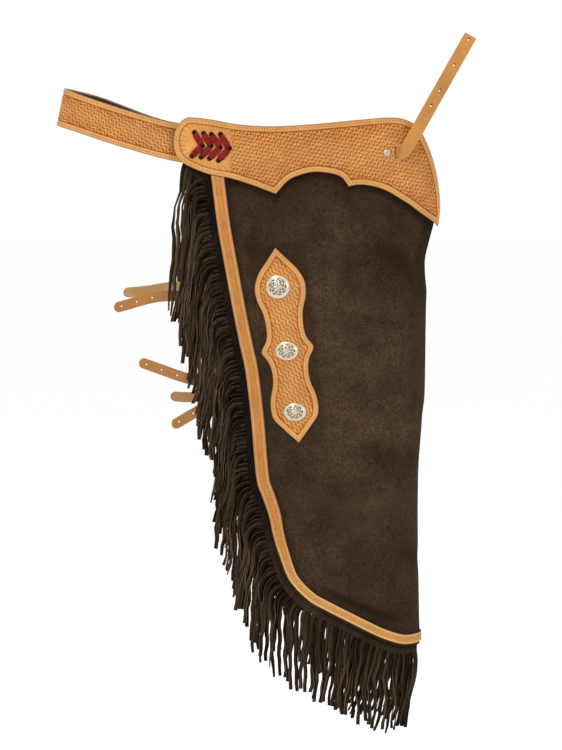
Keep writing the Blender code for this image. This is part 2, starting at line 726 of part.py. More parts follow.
def belt_plan():
    """Points and outward directions of the right half of the belt, from the yoke to centre back."""
    plan = []
    steps = 5
    for step in range(steps + 1):
        along = BELT_FRONT_END + (BELT_LEAVES_YOKE - BELT_FRONT_END) * step / steps
        point, outward, _ = surface_frame(along, 0.0)
        plan.append((point, outward))
    point, outward = plan[-1]
    heading = math.atan2(-outward.x, -outward.y)
    for length, turn_to, count in BELT_STRETCHES:
        turn = (math.radians(turn_to) - heading) / count
        for _ in range(count):
            middle = heading + turn / 2
            point = point + Vector((-math.cos(middle), math.sin(middle), 0.0)) * length / count
            heading += turn
            plan.append((point, Vector((-math.sin(heading), -math.cos(heading), 0.0))))
    plan[-1] = (Vector((plan[-1][0].x, 0.0, 0.0)), Vector((-1.0, 0.0, 0.0)))
    return plan


def make_belt():
    """Back belt and its black lining, from the left yoke round the back to the right one."""
    right = belt_plan()
    left = [(Vector((p.x, -p.y, 0.0)), Vector((o.x, -o.y, 0.0))) for p, o in right[:-1]]
    plan = left + right[::-1]
    for name, look, out, thickness, wide in (
            ("back_belt", "tooled_leather", 0.0, BELT_THICK, BELT_WIDE),
            ("belt_lining", "lining", -BELT_THICK - SEAM_GAP, LINING_THICK, LINING_WIDE)):

        def point_at(column, row, out=out, wide=wide):
            point, outward = plan[column]
            middle = read_row(BELT_ROWS, point.x, 1)
            flare = read_row(BELT_ROWS, point.x, 2)
            if point.y > 0:
                off = min(abs(point.x - BELT_LEFT_RISE_AT) / BELT_LEFT_RISE_REACH, 1.0)
                middle += BELT_LEFT_RISE * (1 + math.cos(math.pi * off)) / 2
            rise = wide * (row - 0.5)
            spot = point + outward * (out - flare * rise)
            return Vector((spot.x, spot.y, middle + rise)) * MM

        surface(name, look, len(plan) - 1, 1, point_at, thickness)


def make_front_strap():
    """Strap riveted behind the right yoke, out through its slot and up to its square end."""
    stand = form_at(SLOT_AT[1])[2]
    outward = Vector((0.0, -1.0, 0.0))
    path = [(Vector((x, -stand - out, height)) * MM, outward)
            for x, height, out in FRONT_STRAP_PATH]
    strap = ribbon("front_strap", "strap_leather", path, FRONT_STRAP_WIDE, FRONT_STRAP_THICK)
    for number, distance in enumerate(FRONT_HOLES_FROM_TIP, 1):
        build = bmesh.new()
        bmesh.ops.create_cone(build, cap_ends=True, segments=10, radius1=FRONT_HOLE_WIDE * MM / 2,
                              radius2=FRONT_HOLE_WIDE * MM / 2, depth=16 * MM)
        turn = outward.to_track_quat("Z", "Y").to_matrix().to_4x4()
        bmesh.ops.transform(build, verts=build.verts,
                            matrix=Matrix.Translation(from_tip(path, distance * MM)) @ turn)
        mesh = bpy.data.meshes.new(f"front_hole_{number}")
        build.to_mesh(mesh)
        build.free()
        cut(strap, add_object(mesh.name, mesh, None, smooth=False))


def from_tip(path, distance):
    """Point at a distance back from the last point of a path."""
    for (end, _), (start, _) in zip(path[::-1], path[-2::-1]):
        step = (start - end).length
        if distance <= step:
            return end.lerp(start, distance / step)
        distance -= step
    return path[0][0]


def leg_strap(name, points):
    """Strap stitched inside the panel, with a rounded free end behind the leg."""
    line = Line(points)
    round_end = LEG_STRAP_WIDE / 2
    marks = [0.0, round_end * 0.15, round_end * 0.45, round_end]
    free = line.length - LEG_STRAP_SEAT_LONG[0] - round_end
    count = round(free / 17.0)
    marks += [round_end + free * (i + 1) / count for i in range(count)]
    marks += [line.length - seat for seat in LEG_STRAP_SEAT_LONG[1:]]
    seated = len(marks) - len(LEG_STRAP_SEAT_LONG) + 1

    def point_at(column, row):
        mark = marks[column]
        depth = LEG_STRAP_SEAT if column >= seated else LEG_STRAP_DEPTH
        short = max(1 - mark / round_end, 0.0)
        half = LEG_STRAP_WIDE / 2 * math.sqrt(max(1 - short ** 2, 0.02))
        flat = line.at(mark) + line.inward(mark) * half * (2 * row - 1)
        spot = max(flat.x, LEG_STRAP_FREE)
        forward = surface_frame(spot, flat.y)[2]
        return place(spot, flat.y, depth) + forward * (flat.x - spot) * MM

    return surface(name, "strap_leather", len(marks) - 1, 1, point_at, LEG_STRAP_THICK, 0.0)


def make_leg_straps():
    """Three leg straps on each leg, their free ends lying differently on the two legs."""
    for side, straps in LEG_STRAPS.items():
        for number, points in enumerate(straps, 1):
            strap = leg_strap(f"{side}_leg_strap_{number}", points)
            if side == "left":
                name = strap.name
                strap.name = "unmirrored"
                mirrored(strap, name)
                bpy.data.objects.remove(strap)


def buckle_mesh(name):
    """Flat plate buckle with two windows and a fixed prong, its first bar starting at X = 0."""
    long = 3 * BUCKLE_BAR + sum(BUCKLE_WINDOWS)
    wide = BUCKLE_INSIDE + 2 * BUCKLE_BAR
    plate = add_object("plate", box_mesh("plate", (long, wide, BUCKLE_THICK), (long / 2, 0, 0)),
                       None, smooth=False)
    start = BUCKLE_BAR
    for number, window in enumerate(BUCKLE_WINDOWS):
        size = (window, BUCKLE_INSIDE, 3 * BUCKLE_THICK)
        cutter = box_mesh(f"window_{number}", size, (start + window / 2, 0, 0))
        cut(plate, add_object(cutter.name, cutter, None, smooth=False))
        start += window + BUCKLE_BAR
    middle_bar = 1.5 * BUCKLE_BAR + BUCKLE_WINDOWS[0]
    build = bmesh.new()
    bmesh.ops.create_cone(build, cap_ends=True, segments=8, radius1=PRONG_WIDE * MM / 2,
                          radius2=PRONG_WIDE * MM / 2, depth=PRONG_RISE * MM)
    rise = (BUCKLE_THICK + PRONG_RISE) / 2 - 0.2
    bmesh.ops.translate(build, vec=Vector((middle_bar, 0, rise)) * MM, verts=build.verts)
    prong_mesh = bpy.data.meshes.new("prong")
    build.to_mesh(prong_mesh)
    build.free()
    prong = add_object("prong", prong_mesh, None, smooth=False)
    join = plate.modifiers.new("prong", "BOOLEAN")
    join.operation = "UNION"
    join.object = prong
    solid = bpy.data.meshes.new_from_object(
        plate.evaluated_get(bpy.context.evaluated_depsgraph_get()))
    for item in [plate, prong] + [o for o in CUTTERS.objects if o.name.startswith("window_")]:
        bpy.data.objects.remove(item)
    solid.name = name
    return solid


def fold_path(start, fold_at, middle, reach_back):
    """Stations along and out of a chape folded round a buckle's first bar."""
    path = [(start, middle + CHAPE_LEG)]
    if fold_at - start > 16:
        path.append(((start + fold_at) / 2, middle + CHAPE_LEG))
    for step in range(7):
        angle = math.pi / 2 - math.pi * step / 6
        path.append((fold_at + CHAPE_LEG * math.cos(angle), middle + CHAPE_LEG * math.sin(angle)))
    return path + [((fold_at + reach_back) / 2, middle - CHAPE_LEG),
                   (reach_back, middle - CHAPE_LEG)]


def make_chape(name, path, seat):
    """Short strip of leather along a path of distance and depth, placed by its seat."""
    def point_at(column, row):
        along, out = path[column]
        return seat @ (Vector((along, CHAPE_WIDE * (row - 0.5), out)) * MM)

    return surface(name, "dark_strap", len(path) - 1, 1, point_at, CHAPE_THICK, 0.0)


def make_buckle(name, seat, fold, out):
    """Plate buckle whose first bar lies in the fold of a chape on the same seat."""
    mesh = buckle_mesh(name)
    mesh.transform(seat @ Matrix.Translation(Vector((fold - BUCKLE_BAR + 0.4, 0.0, out)) * MM))
    return add_object(mesh.name, mesh, "silver", smooth=False)


def inner_seat(height):
    """Placing of a flat piece at the panel's inner edge, leaning as the leather does there."""
    edge = INNER.at(next(mark for mark in INNER.marks if INNER.at(mark).y <= height))
    centre, radius, _, _ = form_at(height)
    past = edge.x - centre - math.pi * radius
    point, _, forward = surface_frame(edge.x, height)
    reach = 8.0
    up = (surface_frame(*around(180.0, past, height + reach))[0]
          - surface_frame(*around(180.0, past, height - reach))[0])
    return seat_matrix(point, forward, up, 0.0)


def make_buckles():
    """Plate buckles and their chapes at the inner edge of each leg."""
    middle = -PANEL_THICK / 2
    path = fold_path(-CHAPE_REACH, CHAPE_FOLD_AT, middle, -CHAPE_REACH)
    for number, height in enumerate(CHAPE_HEIGHTS, 1):
        seat = inner_seat(height)
        both_sides(make_chape(f"right_chape_{number}", path, seat))
        both_sides(make_buckle(f"right_buckle_{number}", seat, CHAPE_FOLD_AT, middle))


def make_front_buckle():
    """Plate buckle at the left hip, on a chape riveted behind the yoke and out through its slot."""
    seat = frame_matrix(*FRONT_SEAT_AT, 0.0)
    behind = BEHIND_YOKE - CHAPE_THICK / 2
    outside = YOKE_FACE + 0.6 + CHAPE_THICK / 2
    path = [(-15.0, behind), (-4.0, behind), (5.5, behind), (8.2, 1.0), (9.9, 3.3),
            (12.5, outside - 0.4), (17.0, outside)]
    turn = fold_path(18.0, FRONT_CHAPE_REACH, outside + CHAPE_LEG, 18.0)[::-1]
    pieces = (make_chape("front_chape", path + turn[1:], seat),
              make_buckle("front_buckle", seat, FRONT_CHAPE_REACH, outside + CHAPE_LEG))
    for piece in pieces:
        name = piece.name
        piece.name = name + "_right"
        mirrored(piece, name)
        bpy.data.objects.remove(piece)


def main():
    """Build every piece of the chaps."""
    make_panel()
    make_yoke()
    make_border()
    make_fringe()
    make_patch()
    make_conchos()
    make_laces()
    make_belt()
    make_front_strap()
    make_rivets()
    make_leg_straps()
    make_buckles()
    make_front_buckle()


main()
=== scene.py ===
"""Leather chaps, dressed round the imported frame: tooled leather, suede, fringe and fittings.

The frame's +X is the wearer's front and +Z is up. The right leg, at negative Y, is made first and
the left leg mirrors it. Tables are in millimetres and every mesh is in metres.
"""
import math

import bmesh
import bpy
import numpy as np
from bpy.props import FloatProperty, FloatVectorProperty, IntProperty, PointerProperty
from mathutils import Matrix, Vector, noise


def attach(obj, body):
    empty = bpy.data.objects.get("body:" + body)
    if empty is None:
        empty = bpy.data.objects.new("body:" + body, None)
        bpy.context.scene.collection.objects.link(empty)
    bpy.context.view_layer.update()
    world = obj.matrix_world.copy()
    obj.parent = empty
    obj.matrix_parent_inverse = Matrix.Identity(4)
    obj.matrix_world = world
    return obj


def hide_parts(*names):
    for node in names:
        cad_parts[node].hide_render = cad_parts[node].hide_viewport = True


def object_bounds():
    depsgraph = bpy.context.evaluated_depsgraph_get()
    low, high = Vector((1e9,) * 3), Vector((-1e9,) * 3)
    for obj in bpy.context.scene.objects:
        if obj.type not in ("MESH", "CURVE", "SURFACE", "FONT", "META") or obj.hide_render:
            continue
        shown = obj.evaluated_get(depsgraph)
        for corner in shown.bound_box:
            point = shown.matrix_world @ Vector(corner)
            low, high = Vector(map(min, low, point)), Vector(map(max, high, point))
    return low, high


bl_info = {
    "name": "Leather chaps",
    "version": (1, 0, 0),
    "blender": (4, 5, 0),
    "location": "3D View > Sidebar > Chaps",
    "description": "Builds tooled and fringed leather chaps on their packed frame",
    "category": "Add Mesh",
}

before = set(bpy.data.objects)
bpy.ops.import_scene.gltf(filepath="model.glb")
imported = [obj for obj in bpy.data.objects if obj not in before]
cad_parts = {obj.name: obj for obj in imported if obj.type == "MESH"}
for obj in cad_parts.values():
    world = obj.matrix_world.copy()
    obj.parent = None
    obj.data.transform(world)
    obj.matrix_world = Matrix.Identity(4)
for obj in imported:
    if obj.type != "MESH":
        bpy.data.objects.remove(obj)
CAD_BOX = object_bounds()

MM = 0.001
ALL_SIDES = ("right", "left")

# Leather thicknesses and the clearances between layers
PANEL_THICK, YOKE_THICK, TRIM_THICK, BELT_THICK, LINING_THICK = 2.0, 3.0, 2.0, 2.5, 1.0
LEG_STRAP_THICK, FRONT_STRAP_THICK = 2.5, 3.0
SEAM_GAP = 0.3
TRIM_FACE = 0.6 + TRIM_THICK
YOKE_LIFT = 0.8
YOKE_FACE = YOKE_LIFT + YOKE_THICK

# Form of a worn leg, one row for each height: foremost X, radius of the front turn, how far the
# side stands off the middle plane, and how fast it bows in towards the back
HEIGHT, FRONT, RADIUS, STAND, BOW = range(5)
FORM_ROWS = (
    (60.0, 287.0, 75.0, 160.0, 0.00040), (-60.0, 287.0, 75.0, 160.0, 0.00040),
    (-100.0, 284.0, 75.0, 160.0, 0.00044), (-140.0, 274.5, 74.5, 160.0, 0.00048),
    (-180.0, 264.0, 74.0, 159.5, 0.00052), (-220.0, 259.0, 72.5, 159.0, 0.00056),
    (-275.0, 257.5, 70.5, 158.0, 0.00060), (-377.0, 256.0, 66.5, 154.5, 0.00065),
    (-425.0, 251.5, 64.0, 152.5, 0.00068), (-478.0, 247.5, 62.0, 150.5, 0.00071),
    (-536.0, 246.5, 60.5, 149.0, 0.00074), (-598.0, 247.0, 59.5, 148.0, 0.00077),
    (-700.0, 249.0, 58.0, 146.0, 0.00080), (-745.0, 249.5, 58.0, 146.0, 0.00080),
    (-810.0, 241.0, 53.0, 145.0, 0.00080), (-880.0, 229.0, 47.0, 143.0, 0.00080),
)

# Yoke outline on the side of the hip: distance forward, height
YOKE_TOP = (
    (-111.0, -3.5), (-109.0, 10.0), (-103.0, 22.0), (-94.0, 30.0), (-86.0, 32.0), (-57.0, 29.0),
    (-18.0, 22.0), (32.0, 19.0), (91.0, 22.0), (151.0, 27.6), (195.0, 31.3), (213.0, 31.0),
    (226.0, 27.6), (241.0, 19.0), (254.0, 0.0), (269.0, -32.0), (281.0, -70.0), (287.5, -105.0),
)
YOKE_LOW_REAR = (
    (-111.0, -3.5), (-108.5, -19.0), (-98.0, -33.0), (-77.0, -44.0), (-57.0, -51.0),
    (-27.0, -56.6), (2.6, -65.7), (26.0, -74.5), (38.0, -79.0),
)
YOKE_LOW_MIDDLE = (
    (38.0, -79.0), (56.0, -59.5), (74.0, -51.0), (94.0, -47.0), (118.0, -49.3),
    (133.0, -55.0), (143.0, -68.2),
)
YOKE_LOW_FRONT = (
    (143.0, -68.2), (154.0, -65.7), (171.0, -66.3), (195.0, -73.0), (225.0, -90.8),
    (254.0, -110.5), (287.5, -126.5),
)

# Leg panel outline
PANEL_TOP = (
    (-57.0, -39.0), (-12.0, -40.0), (40.0, -33.0), (94.0, -26.0), (143.0, -30.0),
    (171.0, -39.0), (195.0, -50.0), (225.0, -68.0), (254.0, -89.0), (284.0, -111.0),
)
BACK_EDGE = (
    (-57.0, -47.0), (-47.5, -123.0), (-37.0, -182.0), (-26.0, -242.0), (-14.5, -300.0),
    (-7.5, -332.0), (-1.5, -378.0), (3.0, -423.0), (6.5, -468.0), (10.5, -501.0),
    (18.0, -522.0), (26.5, -549.0), (31.5, -576.0), (38.5, -603.0), (54.0, -645.0),
)
HEM_BACK = ((82.0, -675.0), (111.0, -691.5), (138.0, -705.0), (165.0, -718.5), (192.0, -731.0))
# Round the front turn, by the angle turned, the distance past it and the height
HEM_TURN = ((30.0, 0.0, -740.5), (60.0, 0.0, -741.5), (90.0, 0.0, -741.0), (135.0, 0.0, -740.5),
            (180.0, 0.0, -739.5), (180.0, 40.0, -733.0))
INNER_EDGE = (
    (56.0, 0.0, -111.0), (57.0, 0.0, -125.0), (57.0, 0.0, -150.0), (60.0, 0.0, -178.0),
    (75.0, 0.0, -212.0), (108.0, 0.0, -250.0), (150.0, 0.0, -290.0), (180.0, 20.0, -330.0),
    (180.0, 52.0, -385.0), (180.0, 65.0, -450.0), (180.0, 62.0, -540.0), (180.0, 50.0, -630.0),
    (180.0, 42.0, -690.0), (180.0, 40.0, -733.0),
)
PANEL_CORNER = (62.0, -655.0)
# Soft creases of the suede: two ends, how far the middle bows, half width, depth
CREASES = (
    ((84.0, -646.0), (228.0, -706.0), -4.0, 9.0, 1.5),
    ((120.0, -560.0), (255.0, -515.0), 10.0, 16.0, -0.9),
    ((150.0, -430.0), (262.0, -470.0), -9.0, 15.0, 0.9),
    ((60.0, -520.0), (190.0, -585.0), 12.0, 20.0, -0.8),
    ((170.0, -140.0), (262.0, -235.0), 8.0, 14.0, 0.8),
    ((120.0, -300.0), (250.0, -350.0), -8.0, 18.0, -0.8),
    ((210.0, -600.0), (330.0, -640.0), 8.0, 14.0, 1.0),
    ((250.0, -380.0), (380.0, -420.0), -10.0, 16.0, 1.1),
    ((280.0, -500.0), (400.0, -560.0), 8.0, 14.0, -1.0),
)
BORDER_WIDE = 19.3

# Pointed tooled patch: its axis, and its half width along that axis
PATCH_START = (37.0, -156.5)
PATCH_END = (71.5, -441.0)
PATCH_ROWS = (
    (0.0, 0.4), (17.0, 14.5), (35.0, 29.0), (55.0, 37.0), (75.0, 35.5), (94.0, 29.4),
    (116.0, 27.3), (133.0, 29.7), (149.0, 38.1), (164.0, 30.4), (177.0, 27.0), (196.0, 27.3),
    (217.0, 33.0), (232.0, 34.8), (249.0, 32.0), (265.0, 19.0), (286.0, 0.4),
)
# Conchos: place, width and height of each
CONCHOS = ((41.0, -213.0, 35.5, 34.0), (54.0, -306.0, 34.0, 27.5), (66.0, -395.0, 33.0, 26.5))
CONCHO_RISE = 5.5

# Back belt
BELT_WIDE, LINING_WIDE = 55.5, 50.5
BELT_FRONT_END = -20.0
BELT_LEAVES_YOKE = -112.0
# Turning of the belt in plan: length of a stretch, heading at its end
BELT_STRETCHES = ((60.0, 28.0), (105.0, 32.0), (52.5, 90.0))
BELT_ROWS = (
    (-283.0, 48.0, 0.21), (-190.0, 17.5, 0.1), (-101.0, -5.5, 0.0), (-20.0, -10.5, 0.0),
)
BELT_LEFT_RISE, BELT_LEFT_RISE_AT, BELT_LEFT_RISE_REACH = 6.0, -235.0, 105.0

# Lacing between yoke and belt: upper hole, tip and lower hole of each chevron
LACE_CHEVRONS = (
    ((-79.8, 10.0), (-68.2, -9.4), (-83.5, -24.2)),
    ((-66.7, 8.7), (-55.4, -9.4), (-70.2, -25.7)),
    ((-55.1, 7.3), (-42.1, -11.6), (-58.0, -27.6)),
    ((-42.1, 7.3), (-29.3, -13.1), (-45.0, -30.5)),
)
LACE_WIDE, LACE_THICK = 9.6, 1.8

# Front fastening
SLOT_AT, SLOT_WIDE, SLOT_TALL = (213.9, -18.9), 9.5, 23.5
RIVET_AT, RIVET_WIDE, RIVET_RISE = (198.0, -19.2), 11.0, 2.6
FRONT_STRAP_WIDE = 18.6
BEHIND_YOKE = YOKE_LIFT - 0.4
FRONT_STRAP_PATH = (
    (189.0, -19.0, BEHIND_YOKE - 1.5), (199.0, -19.0, BEHIND_YOKE - 1.5),
    (209.5, -19.0, BEHIND_YOKE - 1.5), (212.6, -18.9, 0.4), (214.4, -18.9, 2.8),
    (216.8, -18.8, 6.6), (219.8, -18.2, 9.6), (224.0, -15.0, 12.0), (229.0, -8.0, 14.0),
    (235.0, 3.0, 15.0), (244.0, 19.0, 15.0), (256.0, 40.5, 14.0), (275.0, 74.0, 12.0),
    (293.0, 106.0, 10.0), (317.5, 149.0, 8.0),
)
FRONT_HOLES_FROM_TIP = (7.0, 49.0, 91.0, 116.0)

# Leg straps: middle line from the rounded tip to the end stitched inside the panel
LEG_STRAP_WIDE, LEG_STRAP_DEPTH, LEG_STRAP_FREE = 15.5, -6.8, -130.0
LEG_STRAP_SEAT = -PANEL_THICK - SEAM_GAP - 0.1 - LEG_STRAP_THICK / 2
LEG_STRAP_SEAT_LONG = (19.0, 11.0)
LEG_STRAPS = {
    "right": (
        ((-207.5, -248.5), (-172.5, -238.5), (-143.0, -231.0), (-118.5, -228.5),
         (-88.0, -227.8), (-45.0, -227.0), (0.0, -227.0)),
        ((-169.0, -327.0), (-133.7, -337.7), (-104.0, -347.2), (-80.7, -352.8),
         (-50.0, -356.0), (-20.0, -357.0), (26.0, -357.0)),
        ((-117.5, -421.0), (-84.0, -400.5), (-60.0, -388.0), (-35.0, -380.0),
         (-10.0, -376.0), (30.0, -375.0)),
    ),
    "left": (
        ((-199.5, -232.0), (-162.5, -229.4), (-131.5, -225.0), (-88.0, -223.0),
         (-45.0, -226.0), (0.0, -227.0)),
        ((-82.0, -350.0), (-55.0, -354.0), (-20.0, -357.0), (26.0, -357.0)),
        ((-125.0, -389.5), (-98.0, -392.0), (-60.0, -391.0), (-30.0, -383.0),
         (-8.0, -377.0), (30.0, -375.0)),
    ),
}
LEG_HOLES_FROM_TIP = (12.0, 38.0, 64.0)

# Fringe: strip behind the edge and its strands
FRINGE_DEPTH, FRINGE_THICK = -3.9, 1.4
FRINGE_TOP = ((-98.0, -33.5), (-82.0, -40.5), (-68.0, -46.0), (-59.0, -55.0), (-54.5, -76.0))
ALONG, INSIDE, OUTSIDE, LENGTH, LEAN = range(5)
FRINGE_ROWS = (
    (0.0, 1.5, 4.0, 231.0, -6.0), (50.0, 5.0, 8.0, 222.0, -6.2), (90.0, 8.0, 10.0, 216.0, -5.0),
    (170.0, 8.0, 10.0, 210.0, -5.5), (320.0, 8.0, 10.0, 172.0, -7.0),
    (430.0, 8.0, 10.0, 168.0, -7.0), (520.0, 8.0, 10.0, 154.0, -6.0),
    (590.0, 8.0, 10.0, 143.0, -5.0), (650.0, 8.0, 10.0, 136.0, -3.0),
    (710.0, 8.0, 10.0, 127.0, -2.0), (800.0, 8.0, 10.0, 124.0, -5.0),
    (900.0, 8.0, 10.0, 114.0, -7.0), (1080.0, 8.0, 10.0, 110.0, -7.0),
)

# Camera: the photograph's view of the near leg
VIEW_TARGET = (0.045, -0.155, -0.34075)
VIEW_DISTANCE = 5.0
VIEW_ELEVATION = 4.0
VIEW_TALL = 1.0875
SENSOR_WIDE = 36.0


def read_row(rows, where, column):
    """Smooth value of one column at a place between the rows of a table."""
    rising = rows[0][0] < rows[-1][0]
    ordered = rows if rising else rows[::-1]
    if where <= ordered[0][0]:
        return ordered[0][column]
    if where >= ordered[-1][0]:
        return ordered[-1][column]
    last = len(ordered) - 1
    index = next(i for i in range(last) if where <= ordered[i + 1][0])

    def slope(i):
        low, high = max(i - 1, 0), min(i + 1, last)
        return (ordered[high][column] - ordered[low][column]) / (ordered[high][0] - ordered[low][0])

    start, end = ordered[index], ordered[index + 1]
    span = end[0] - start[0]
    f = (where - start[0]) / span
    rise = end[column] - start[column]
    bend_in, bend_out = slope(index) * span, slope(index + 1) * span
    return (start[column] + f * bend_in + f * f * (3 * rise - 2 * bend_in - bend_out)
            + f ** 3 * (bend_in + bend_out - 2 * rise))


def form_at(height):
    """Turn centre, radius, stand-off and bow of a leg at a height."""
    radius = read_row(FORM_ROWS, height, RADIUS)
    centre = read_row(FORM_ROWS, height, FRONT) - radius
    return centre, radius, read_row(FORM_ROWS, height, STAND), read_row(FORM_ROWS, height, BOW)


def surface_frame(along, height):
    """Point, outward direction and forward direction of the right leg's surface, in millimetres."""
    centre, radius, stand, bow = form_at(height)
    if along <= centre:
        back = centre - along
        outward = Vector((-2 * bow * back, -1.0, 0.0)).normalized()
        point = Vector((along, bow * back ** 2 - stand, height))
    else:
        angle = min((along - centre) / radius, math.pi)
        past = max(along - centre - math.pi * radius, 0.0)
        outward = Vector((math.sin(angle), -math.cos(angle), 0.0))
        point = Vector((centre + radius * math.sin(angle) - past,
                        radius - stand - radius * math.cos(angle), height))
    return point, outward, Vector((-outward.y, outward.x, 0.0))


def place(along, height, out=0.0):
    """Point in metres at a distance round the leg, a height and a distance out of its surface."""
    point, outward, _ = surface_frame(along, height)
    return (point + outward * out) * MM


def around(angle, past, height):
    """Distance round the leg, and height, of a point given by its angle on the front turn."""
    centre, radius, _, _ = form_at(height)
    return centre + radius * math.radians(angle) + past, height


class Line:
    """A smooth line through points of the flat pattern, read by the distance along it."""

    def __init__(self, points, steps=12):
        self.points = []
        for index in range(len(points) - 1):
            before = Vector(points[max(index - 1, 0)])
            start, end = Vector(points[index]), Vector(points[index + 1])
            after = Vector(points[min(index + 2, len(points) - 1)])
            for step in range(steps):
                f = step / steps
                self.points.append(0.5 * (2 * start + (end - before) * f
                                          + (2 * before - 5 * start + 4 * end - after) * f ** 2
                                          + (3 * start - before - 3 * end + after) * f ** 3))
        self.points.append(Vector(points[-1]))
        self.marks = [0.0]
        for start, end in zip(self.points, self.points[1:]):
            self.marks.append(self.marks[-1] + (end - start).length)
        self.length = self.marks[-1]

    def at(self, distance):
        """Point at a distance from the start."""
        last = len(self.points) - 2
        index = min(max(int(np.searchsorted(self.marks, distance)) - 1, 0), last)
        start, end = self.points[index], self.points[index + 1]
        return start.lerp(end, (distance - self.marks[index])
                          / (self.marks[index + 1] - self.marks[index]))

    def heading(self, distance, reach=3.0):
        """Direction of the line at a distance, over a short reach to both sides."""
        low, high = max(distance - reach, 0.0), min(distance + reach, self.length)
        return (self.at(high) - self.at(low)).normalized()

    def inward(self, distance):
        """Direction to the left of the heading, into the leather."""
        heading = self.heading(distance)
        return Vector((-heading.y, heading.x))

    def nearest(self, target):
        """Distance along the line of the point nearest to a target."""
        gaps = [(point - Vector(target)).length for point in self.points]
        return self.marks[gaps.index(min(gaps))]


HEM_POINTS = HEM_BACK + tuple(around(*row) for row in HEM_TURN)
EDGE = Line(PANEL_TOP[:1] + BACK_EDGE + HEM_POINTS)
INNER = Line(tuple(around(*row) for row in INNER_EDGE))
TOP = Line(PANEL_TOP)
STRIP = Line(FRINGE_TOP + BACK_EDGE[1:] + HEM_POINTS)


def seat_matrix(along, height, out):
    """Placing of a flat piece on the side of the leg: X forward, Y up and Z out of the leather."""
    point, _, forward = surface_frame(along, height)
    reach = 8.0
    up = surface_frame(along, height + reach)[0] - surface_frame(along, height - reach)[0]
    up = (up - forward * up.dot(forward)).normalized()
    outward = forward.cross(up)
    turn = Matrix((forward, up, outward)).transposed().to_4x4()
    return Matrix.Translation((point + outward * out) * MM) @ turn


def yoke_low(along):
    """Height of the yoke's scalloped lower edge."""
    for rows in (YOKE_LOW_REAR, YOKE_LOW_MIDDLE, YOKE_LOW_FRONT):
        if along <= rows[-1][0]:
            return read_row(rows, along, 1)
    return YOKE_LOW_FRONT[-1][1]


# Sizes and colours that a user would change

class ChapsSizes(bpy.types.PropertyGroup):
    """Sizes of the tooling, sewing and fringe."""
    tool_depth: FloatProperty(name="Tooling depth", description="Depth of the basket stamps",
                              default=0.0007, subtype="DISTANCE", unit="LENGTH")
    band_wide: FloatProperty(name="Edge band", description="Plain band outside the tooled line",
                             default=0.0088, subtype="DISTANCE", unit="LENGTH")
    edge_round: FloatProperty(name="Edge rounding", description="Rounding of the cut edges",
                              default=0.0011, subtype="DISTANCE", unit="LENGTH")
    stitch_inset: FloatProperty(name="Stitch inset", description="Stitch line from the edge",
                                default=0.0042, subtype="DISTANCE", unit="LENGTH")
    stitch_pitch: FloatProperty(name="Stitch pitch", description="Length of one stitch",
                                default=0.0041, subtype="DISTANCE", unit="LENGTH")
    strand_pitch: FloatProperty(name="Strand pitch", description="Spacing of the fringe strands",
                                default=0.0064, subtype="DISTANCE", unit="LENGTH")
    strand_wide: FloatProperty(name="Strand width", description="Width of one fringe strand",
                               default=0.0064, subtype="DISTANCE", unit="LENGTH")
    strand_steps: IntProperty(name="Strand steps", description="Stretches along one strand",
                              default=16, min=4, max=30)


def colour(name, words, value):
    """A colour setting."""
    return FloatVectorProperty(name=name, description=words, default=value, size=3,
                               subtype="COLOR", min=0.0, max=1.0)


class ChapsColours(bpy.types.PropertyGroup):
    """Colours of the leathers, thread and metal."""
    tan: colour("Tan", "Raised face of the tooled leather", (0.61, 0.298, 0.090))
    antique: colour("Antique", "Dye held in the stamped hollows", (0.215, 0.054, 0.005))
    pale: colour("Pale band", "Bright edge bands round the hem", (0.98, 0.58, 0.18))
    burnish: colour("Burnish", "Rubbed cut edges", (0.16, 0.075, 0.035))
    flesh: colour("Flesh side", "Back of the tanned leather", (0.60, 0.33, 0.13))
    strap: colour("Strap", "Plain strap leather", (0.46, 0.198, 0.045))
    leg_strap: colour("Leg strap", "Leg strap leather", (0.34, 0.143, 0.034))
    suede: colour("Suede", "Leg panels", (0.0285, 0.0176, 0.0094))
    fringe: colour("Fringe", "Fringe strands", (0.0125, 0.0083, 0.0052))
    cut: colour("Cut edge", "Cut edges of the fringe", (0.085, 0.062, 0.040))
    lace: colour("Lace", "Lacing thongs", (0.175, 0.007, 0.005))
    thread: colour("Thread", "Sewing thread", (0.55, 0.41, 0.25))
    silver: colour("Silver", "Conchos", (0.66, 0.59, 0.44))
    floor: colour("Floor", "Studio floor", (0.99, 0.99, 0.99))


# Materials

